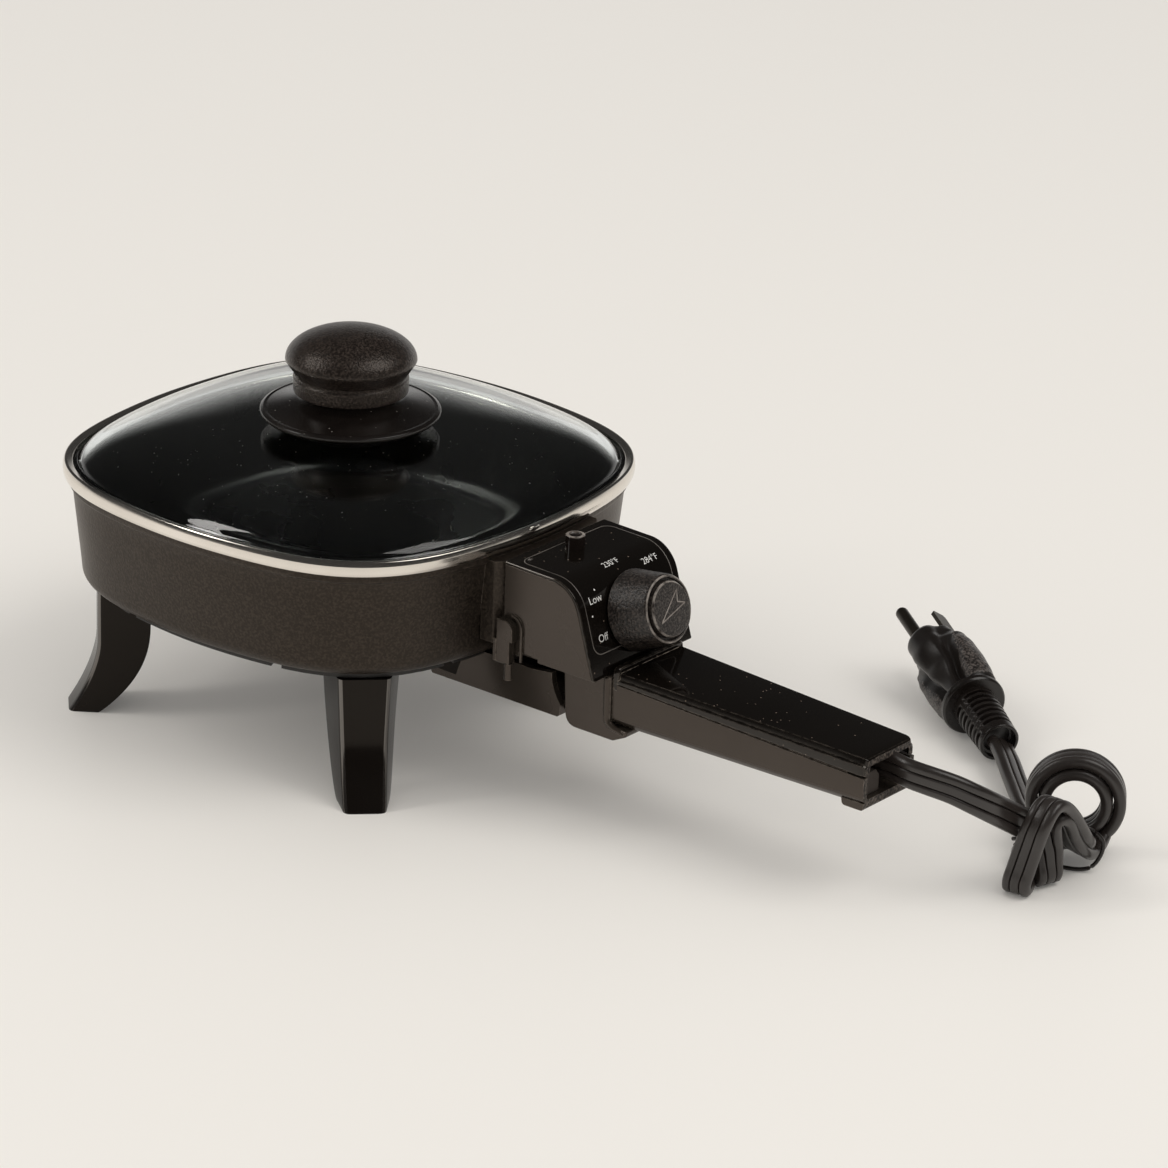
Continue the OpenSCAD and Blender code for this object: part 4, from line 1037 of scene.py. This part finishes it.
def tick(name, up, y, radius=0.35):
    turns = [k * math.pi / 6 for k in range(12)]
    points = [on_panel(up + radius * math.sin(a), y + radius * math.cos(a), PRINT_LIFT) for a in turns]
    piece(name, (points, [tuple(range(12))]), "skillet", print_white)


panel_line()
printed("mark_off", "Off", 13.6, -17.9, 3.9)
printed("mark_low", "Low", 27.4, -17.8, 3.9)
printed("mark_230", "230°F", 37.4, -1.0, 3.5)
printed("mark_284", "284°F", 32.7, 15.9, 3.5)
tick("mark_dot_upper", 30.6, -16.4)
tick("mark_dot_lower", 22.2, -21.1)


# ---------- lamp, dial ----------

def make_lens():
    """A short tube with a rounded lip and a sunken end."""
    foot, top, radius = 85.6, 93.6, 3.5
    lens = [(0, foot), (radius, foot), (radius, top - 0.4)] + arc((2.9, top - 0.6), 0.6, 20, 90, 4)
    lens += [(2.4, top - 0.1), (2.1, top - 0.5), (0, top - 0.2)]
    middle = PAN_X + BOX_X + 9.2

    # The lens's top lip takes the painted rim highlight.
    def lens_rim(centre, normal):
        out = math.hypot(centre.x - middle, centre.y)
        return int(centre.z > top - 0.32 and 2.6 < out < 3.4)

    piece(
        "lens_cap", shift(turned(lens, 64), middle), "skillet", [lens_dark, painted_rim_highlight],
        ("lamp_lens",), sharp=45, paint=lens_rim,
    )


DIAL_AT = Matrix.Translation((55.719, 0, 72.4)) @ Matrix.Rotation(math.pi / 2 - LEAN, 4, "Y")


def dial_rim(low, inner, outer):
    """Paints the ring between two radii, above a height along the dial, with the painted rim highlight.
    """
    def rim(centre, normal):
        local = DIAL_AT.inverted() @ centre
        return int(local.z > low and inner < math.hypot(local.x, local.y) < outer)
    return rim


def make_dial():
    """The dial's body, its grained disc and the pointer's lines on it."""
    body = rounded([
        (0, 0.4, 0), (13.9, 0.4, 0.3), (14.5, 1.1, 0.3), (12.3, 15.5, 0.4), (11.9, 16.3, 0.3),
        (11.4, 16.5, 0.2), (10.95, 16.3, 0.15), (10.8, 14.95, 0.1), (0, 14.95, 0),
    ], 4)

    piece(
        "dial_body", moved(turned(body, 144), DIAL_AT), "dial", [dial_grain, painted_rim_highlight],
        ("dial_knob",), sharp=40, paint=dial_rim(16.2, 11.25, 12.1),
    )
    disc_r, disc_low, disc_top, line_half = 9.9, 15.0, 17.75, 0.22
    disc = rounded([
        (0, disc_low, 0), (disc_r, disc_low, 0), (disc_r, 17.2, 0.35), (9.4, disc_top, 0.3),
        (0, disc_top, 0),
    ], 4)
    pointer = [(0.74, 0), (-0.68, 0.32), (-0.4, 0.02), (-0.68, -0.32)]
    turn = Matrix.Rotation(math.radians(-62), 4, "Z")
    lines = []
    for (ax, ay), (bx, by) in zip(pointer, pointer[1:] + pointer[:1]):
        a, b = Vector((ax, ay)) * disc_r, Vector((bx, by)) * disc_r
        side = (b - a).normalized().orthogonal() * line_half
        quad = [(q.x, q.y) for q in (a + side, a - side, b - side, b + side)]
        lines.append(moved(pushed(quad, disc_top - 0.15, disc_top + 0.08, "xy"), turn))
    piece(
        "dial_disc", moved(turned(disc, 144), DIAL_AT), "dial", [disc_grain, painted_rim_highlight],
        ("dial_cap",), sharp=40, paint=dial_rim(17.2, 9.35, 9.87),
    )
    piece("dial_pointer", moved(joined(*lines), DIAL_AT), "dial", pointer_line)


make_lens()
make_dial()


# ---------- collar and handle ----------

def collar_bead(side, half, front, top):
    """A round bead down one side of the collar's mouth and forward along its foot, thinning out."""
    down = [(front - 1.5, z) for z in (top - 0.3, 50, 46, 42, 39.6)]
    forward = [
        (front - 0.9, 37.6), (front + 0.7, 36.3), (front + 3, 35.6), (front + 5, 35.1),
        (front + 6.6, 34.5),
    ]
    sideways = Vector((0, 1, 0))
    points, ways, _ = smooth_route([(Vector((x, 0, z)), sideways) for x, z in down + forward], 0.9)
    turns = [k * math.pi / 8 for k in range(16)]
    loops = []
    for k, (point, way) in enumerate(zip(points, ways)):
        out = way.cross(sideways)
        thin = 1 - 0.7 * (k / len(points)) ** 5
        middle = point + Vector((0, side * (half - 0.6), 0))
        wide = side * 1.4 * thin
        loops.append([
            tuple(middle + out * 1.5 * thin * math.cos(a) + Vector((0, wide * math.sin(a), 0)))
            for a in turns
        ])
    return loft(loops)


def make_collar():
    """The block between box, arm and handle."""
    back, low, top = GRIP_X - 21.1, 31.2, BOX_Z - 0.05
    front, foot, half = GRIP_X - 0.2, GRIP_X + 7.4, 19.4
    seat_x, seat_z = GRIP_X - 0.05, GRIP_Z - 0.05
    core = rounded([
        (back + 1.2, low, 5), (front + 1.5, low, 2.5), (foot, GRIP_Z - 2, 1.5), (foot, seat_z, 0),
        (seat_x, seat_z, 0), (seat_x, top, 0), (back, top, 0),
    ], 8)
    beads = [collar_bead(side, half, front, top) for side in (-1, 1)]
    tongue_x, tongue_low, tongue_top, tongue_half = 95, 34.05, 37.05, 13.9
    tongue = pushed([
        (tongue_x, tongue_low), (back + 2, tongue_low), (back + 2, tongue_top), (tongue_x, tongue_top)
    ], -tongue_half, tongue_half)
    part = joined(pushed(core, 0.2 - half, half - 0.2), *beads, tongue)
    piece("collar_body", shift(part, PAN_X), "skillet", satin_brown, ("collar",), edge=0.6)


GRIP_START = GRIP_X + 0.05
GRIP_STOP = HANDLE_END - 0.1
GRIP_WALL = 2.2


def along_grip(x):
    """How far along the handle x lies, from 0 at the collar to 1 at the open end."""
    return (x - GRIP_X) / (HANDLE_END - GRIP_X)


def grip_half(x):
    return 18.2 - 4 * along_grip(x)


def grip_top(x):
    return GRIP_Z + 20.1 - 2.6 * along_grip(x)


def part_z(x):
    """Height of the joint between the two shells."""
    return GRIP_Z + 16.3 - 5 * along_grip(x)


def crosswise(x, outline):
    """An outline of (y, z), set across the handle at x."""
    return [(x, y, z) for y, z in outline]


def upper_section(x, inset=0.0):
    """The handle's upper shell: a channel open below, with a stepped shoulder at each side."""
    half, top, low, wall = grip_half(x) - inset, grip_top(x) - inset, part_z(x), GRIP_WALL
    return crosswise(x, rounded([
        (-half, low, 0.25), (-half, top - 2.6, 0.35), (-half + 0.9, top - 2.2, 0.3),
        (-half + 1.3, top, 0.45), (half - 1.3, top, 0.45), (half - 0.9, top - 2.2, 0.3),
        (half, top - 2.6, 0.35), (half, low, 0.25), (half - wall, low, 0.2),
        (half - wall, top - wall, 0.8), (-half + wall, top - wall, 0.8), (-half + wall, low, 0.2),
    ]))


def lower_section(x):
    """The handle's lower shell: a channel open above."""
    half, low, wall = grip_half(x), GRIP_Z, GRIP_WALL
    top = part_z(x) - 0.35 - 0.5 * along_grip(x)
    return crosswise(x, rounded([
        (-half, top, 0.25), (-half, low + 2.6, 2.4), (-half + 2.2, low, 2.0), (half - 2.2, low, 2.0),
        (half, low + 2.6, 2.4), (half, top, 0.25), (half - wall, top, 0.2),
        (half - wall, low + wall, 1.2), (-half + wall, low + wall, 1.2), (-half + wall, top, 0.2),
    ]))


def tongue_section(x, side):
    """A strip inside the joint of the two shells, which shows as a dark line."""
    outer, mid = side * (grip_half(x) - 0.8), part_z(x)
    inner = outer - side * 1.2
    return crosswise(x, [(outer, mid - 2), (outer, mid + 1), (inner, mid + 1), (inner, mid - 2)])


def end_cut(centre, normal):
    """Marks the cut faces at the handle's open end."""
    return int(normal.x > 0.85 and centre.x > PAN_X + HANDLE_END - 2)


def make_handle_top():
    """The upper shell, with a raised lip and a closing block at its collar end."""
    steps, reach = 14, GRIP_STOP - 3 - GRIP_START
    shells = [upper_section(GRIP_START + reach * k / steps) for k in range(steps + 1)]
    for short, inset in ((1.5, 0.12), (0.5, 0.5), (0, 1.0)):
        shells.append(upper_section(GRIP_STOP - short, inset))
    end, low, top, half = GRIP_START + 3, 38, 56, 15.8
    block = pushed([(GRIP_START, low), (end, low), (end, top), (GRIP_START, top)], -half, half)
    lip_top, lip_low, half = grip_top(GRIP_START) + 1.9, 50, grip_half(GRIP_START)
    lip = []
    for forward, i in ((0, 0.25), (0.35, 0), (1.6, 0), (2.05, 0.15), (2.35, 0.5), (2.4, 0.9)):
        lip.append(crosswise(GRIP_START + forward, rounded([
            (i - half, lip_low, 0), (half - i, lip_low, 0),
            (half - i, lip_top - i, 2.2), (i - half, lip_top - i, 2.2),
        ], 6)))
    piece(
        "handle_top", shift(joined(loft(shells), loft(lip), block), PAN_X), "skillet",
        [gloss_black, cut_edge], ("handle_upper",), paint=end_cut, sharp=34,
    )


def make_handle_under():
    """The lower shell, with a heel under its open end and a strip inside each joint."""
    steps = 14
    stations = [GRIP_START + (GRIP_STOP - GRIP_START) * k / steps for k in range(steps + 1)]
    lower = loft([lower_section(x) for x in stations])
    heel_half, heel_end, heel_top, heel_low = 13.7, HANDLE_END - 0.2, GRIP_Z + 1.2, GRIP_Z - 1.5
    heel = pushed(rounded([
        (HANDLE_END - 9.6, heel_top, 0), (HANDLE_END - 9.2, heel_low, 1.4),
        (heel_end, heel_low, 1.4), (heel_end, heel_top, 0),
    ], 6), -heel_half, heel_half)
    tongues = [loft([tongue_section(x, side) for x in stations[:-1]]) for side in (-1, 1)]
    piece(
        "handle_under", shift(joined(lower, heel, *tongues), PAN_X), "skillet",
        [satin_brown, cut_edge], ("handle_lower",), paint=end_cut, sharp=34,
    )


def make_jaw():
    """The chamfered block that stands in the handle's open end beside the cord."""
    left, right, low, top = -11.6, -2.4, 38.5, 46.6
    outline = rounded([
        (left, low, 0.4), (right, low, 0.4), (right, 44.4, 0.5), (-4.2, top, 0.5), (left, top, 0.8)
    ], 4)
    jaw = pushed(outline, 233.5, 241.2, "yz")
    piece("cord_jaw", shift(jaw, PAN_X), "skillet", jaw_black, edge=0.35)


make_collar()
make_handle_top()
make_handle_under()
make_jaw()


# ---------- plug ----------

PLUG_AT = (
    Matrix.Translation((111.4, 129.3, 12.3)) @ Matrix.Rotation(math.radians(147.7), 4, "Z")
    @ Matrix.Rotation(math.radians(-9), 4, "Y") @ Matrix.Rotation(math.radians(33), 4, "X")
)
ALONG_PLUG = Matrix.Rotation(math.pi / 2, 4, "Y")
PLUG_LEN = 41.5
RELIEF_LEN = 24.4
# Along the moulding: its half-height and half-width, how far round from the pin the lobe ends
# and the gripping pads begin, in degrees, and how deep the valleys between them are
TALL = [(0, 8.7), (9, 8.4), (20, 9.3), (32, 10.9), (39, 11), (41.5, 10)]
WIDE = [(0, 10), (4, 11.6), (9, 12.4), (16, 12.7), (25, 12.4), (31, 11.6), (36, 9.9), (41.5, 9)]
LOBE_EDGE = [(0, 11), (9, 26), (20, 38), (41.5, 43)]
PAD_EDGE = [(0, 40), (8, 46), (23, 62), (34, 72), (41.5, 76)]
VALLEY = [(0, 1.4), (7, 3.4), (24, 3.6), (34, 2.2), (41.5, 1.2)]


def share(x):
    """A number held between 0 and 1."""
    return min(1, max(0, x))


def blend_table(table, x):
    """A smooth value from a short table of (place, value)."""
    for (x0, v0), (x1, v1) in zip(table, table[1:]):
        if x <= x1:
            t = share((x - x0) / (x1 - x0))
            t = t * t * (3 - 2 * t)
            return v0 + (v1 - v0) * t
    return table[-1][1]


def plug_radius(x, a):
    """The moulding's radius: a lobe below the earth pin, deep valleys, and a gripping pad each side."""
    from_pin = abs(a) if abs(a) < 90 else 180 - abs(a)
    tall, wide = blend_table(TALL, x), blend_table(WIDE, x)
    turn = math.radians(from_pin)
    radius = 1 / math.sqrt((math.cos(turn) / tall) ** 2 + (math.sin(turn) / wide) ** 2)
    lobe_edge, pad_edge = blend_table(LOBE_EDGE, x), blend_table(PAD_EDGE, x)
    middle, spread = (lobe_edge + pad_edge) / 2, (pad_edge - lobe_edge) / 2 + 2
    radius -= blend_table(VALLEY, x) * math.exp(-abs((from_pin - middle) / spread) ** 2.4)
    on_pad = share((from_pin - pad_edge) / 3) * share((x - 2.6) / 0.7)
    return radius + 0.8 * on_pad * share((32.4 - x) / 0.7)


def make_moulding():
    """The plug's body between its flange and its face, with textured gripping pads."""
    steps, stations = 180, 88
    loops = []
    for k in range(stations + 1):
        x = 1.2 + (PLUG_LEN - 1.9) * k / stations
        loop = []
        for i in range(steps):
            a = -180 + 360 * i / steps
            r = plug_radius(x, a)
            loop.append((x, r * math.cos(math.radians(a)), r * math.sin(math.radians(a))))
        loops.append(loop)
    for inset in (0.35, 0.9):
        x, size = PLUG_LEN - 0.45 + inset * 0.5, 1 - inset / 11
        loops.append([(x, y * size, z * size) for _, y, z in loops[stations]])
    flange = turned(rounded([
        (0, -2.2, 0), (11.4, -2.2, 0.4), (12, -1.4, 0.4), (12, 0.3, 0.5), (11.2, 1.1, 0.5), (8, 2.2, 0.6),
        (0, 2.4, 0),
    ]), 96)

    def grip_panel(centre, normal):
        local = PLUG_AT.inverted() @ centre
        a = abs(math.degrees(math.atan2(local.z, local.y)))
        from_pin = a if a < 90 else 180 - a
        return int(3 < local.x < 32.2 and from_pin > blend_table(PAD_EDGE, local.x) + 1.5)

    part = joined(loft(loops), moved(flange, ALONG_PLUG))
    return piece(
        "plug_moulding", moved(part, PLUG_AT), "skillet", [plug_rubber, grip_rubber],
        ("plug_body",), paint=grip_panel, sharp=50,
    )


def relief_radius(x, z, cone):
    """Radius of the relief, cut in by slots that are staggered above and below."""
    depth = 0
    for n in range(7):
        slot_x = -4.9 - n * 2.9 - (0 if z > 0 else 1.45)
        depth = max(depth, 1 - share((abs(x - slot_x) - 0.55) / 0.35))
    ends = share((abs(z) - 0.14) / 0.12)
    return cone - (cone - 5.3) * depth * ends


def make_relief():
    """The tapering sleeve round the cord, with a rounded mouth."""
    steps, stations = 72, 122
    turns = [2 * math.pi * i / steps for i in range(steps)]
    loops = []
    for k in range(stations + 1):
        x, cone = -2.2 - RELIEF_LEN * k / stations, 8.4 - 1.0 * k / stations
        loop = []
        for y, z in [(math.cos(a), math.sin(a)) for a in turns]:
            r = relief_radius(x, z, cone)
            loop.append((x, y * r, z * r))
        loops.append(loop)
    for x, r in ((-2.5, 7.1), (-2.6, 6.7), (-2.4, 6.3), (2.4, 5.9)):
        loops.append([(x - RELIEF_LEN, r * math.cos(a), r * math.sin(a)) for a in turns])
    return piece(
        "relief_ribs", moved(loft(loops), PLUG_AT), "skillet", plug_rubber,
        ("plug_relief",), sharp=50,
    )


def make_blades():
    """Two flat blades with cut corners."""
    thick, spacing, low, high = 1.5, 12.7, -8.07, -1.73
    base, shoulder, tip = PLUG_LEN - 0.5, PLUG_LEN + 14.1, PLUG_LEN + 15.3
    outline = rounded([
        (base, low, 0), (shoulder, low, 0.6), (tip, -7.2, 0.5),
        (tip, -2.6, 0.5), (shoulder, high, 0.6), (base, high, 0),
    ], 3)
    middles = (-spacing / 2, spacing / 2)
    blades = [pushed(outline, y - thick / 2, y + thick / 2, "xy") for y in middles]
    return piece(
        "blade_pair", moved(joined(*blades), PLUG_AT), "skillet", blade_brass,
        ("plug_blades",), edge=0.2,
    )


def make_earth_pin():
    radius, straight = 2.4, 16.4
    tip = arc((0, straight), radius, 0, 88, 8) + [(0, straight + radius)]
    profile = [(0, -0.5), (radius, -0.5)] + tip
    place = PLUG_AT @ Matrix.Translation((PLUG_LEN, 7, 0)) @ ALONG_PLUG
    pin = moved(turned(profile, 48), place)
    return piece("earth_pin", pin, "skillet", blade_brass, ("plug_earth_pin",), sharp=40)


def make_tie():
    """A thin coated wire taken round the waist and twisted at its left."""
    course = [
        (185.1, 51.5, 8), (190, 50.5, 10), (196, 52.5, 17), (203, 56, 18.5), (210, 60, 17),
        (214.2, 63.5, 12), (213.6, 63, 6), (210.5, 60.4, 1.6), (201.2, 55.4, 1.4), (192, 51.8, 3.5),
        (186, 51.2, 6.6),
    ]
    wire_r = 0.75
    points, ways, _ = smooth_route([(Vector(p), Vector((0, 0, 1))) for p in course], 0.8)
    turns = [k * math.pi / 5 for k in range(10)]
    loops = []
    for point, way in zip(points, ways):
        side = way.orthogonal().normalized()
        up = way.cross(side)
        loops.append([
            tuple(point + side * wire_r * math.cos(a) + up * wire_r * math.sin(a)) for a in turns
        ])
    return piece("wire_tie", loft(loops), "skillet", plug_rubber, ("cord_tie",), sharp=60)


plug_pieces = [make_moulding(), make_relief(), make_blades(), make_earth_pin()]
tie = make_tie()


# ---------- finishes of the pieces that keep their CAD form ----------

for node_name, material in {
    "heating_element": element_steel, "base_ring": frame_black, "leg_screws": plain_steel,
    "support_arm": satin_brown, "arm_screws": plain_steel, "box_screws": plain_steel,
    "knob_washer": washer_rubber, "knob_screw": plain_steel, "lug_pins": satin_brown,
    "thermostat": switch_cream, "handle_screws": plain_steel, "cord_clamp": jaw_black,
    "dial_shaft": plain_steel,
}.items():
    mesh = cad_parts[node_name].data
    if not mesh.materials:
        mesh.materials.append(material)
    for index in range(len(mesh.materials)):
        mesh.materials[index] = material


# ---------- floor and light ----------

def add_floor():
    mesh = bpy.data.meshes.new("floor")
    reach = 6
    corners = [(x * reach, y * reach, 0) for x, y in ((-1, -1), (1, -1), (1, 1), (-1, 1))]
    mesh.from_pydata(corners, [], [(0, 1, 2, 3)])
    mesh.materials.append(pale_floor)
    floor = bpy.data.objects.new("floor", mesh)
    scene.collection.objects.link(floor)


def add_lamp(name, place, target, size, watts, colour, upward=(0, 0, 1)):
    """A soft rectangular lamp that faces a point; its long side follows the upward direction."""
    light = bpy.data.lights.new(name, "AREA")
    light.shape = "RECTANGLE"
    light.size, light.size_y = size
    light.energy = watts
    light.color = colour
    lamp = bpy.data.objects.new(name, light)
    back = (Vector(place) - Vector(target)).normalized()
    up = (Vector(upward) - Vector(upward).dot(back) * back).normalized()
    turn = Matrix((up.cross(back), up, back)).transposed().to_4x4()
    lamp.matrix_world = Matrix.Translation(place) @ turn
    scene.collection.objects.link(lamp)


def set_world():
    """Soft even light; gloss sees a dim room with a pale wall low down behind the skillet."""
    world = bpy.data.worlds.new("studio")
    world.use_nodes = True
    tree = world.node_tree
    way = node(tree, "TexCoord").outputs["Generated"]
    height = node(tree, "SeparateXYZ", {0: way}).outputs["Z"]
    low_down = mapped(tree, height, (0.3, 0.1), kind="SMOOTHSTEP")
    facing = worked(tree, "DOT_PRODUCT", way, (-0.62, 0.78, 0), "VectorMath")
    behind = mapped(tree, facing, (0.2, 0.8), kind="SMOOTHSTEP")
    room = mapped(tree, worked(tree, "MULTIPLY", low_down, behind), result=(0.035, 0.8))
    path = node(tree, "LightPath").outputs
    by_gloss = node(tree, "Mix", {"Factor": path["Is Glossy Ray"], "A": 0.75, "B": room})
    by_eye = node(tree, "Mix", {
        "Factor": path["Is Camera Ray"], "A": by_gloss.outputs["Result"], "B": 0.95
    })
    fill(tree, tree.nodes["Background"], {
        "Color": (1, 0.985, 0.965, 1), "Strength": by_eye.outputs["Result"]
    })
    scene.world = world


add_floor()
set_world()
add_lamp("key", (1.5, 0.55, 2.3), (0, 0, 0.05), (1.7, 1.5), 22, (1, 0.98, 0.95))
add_lamp("strip", (-1.38, -1.26, 1.56), (0, 0, 0.06), (0.3, 1.9), 13, (1, 0.975, 0.94), (0, 0.766, 0.643))
scene.view_settings.view_transform = "Standard"
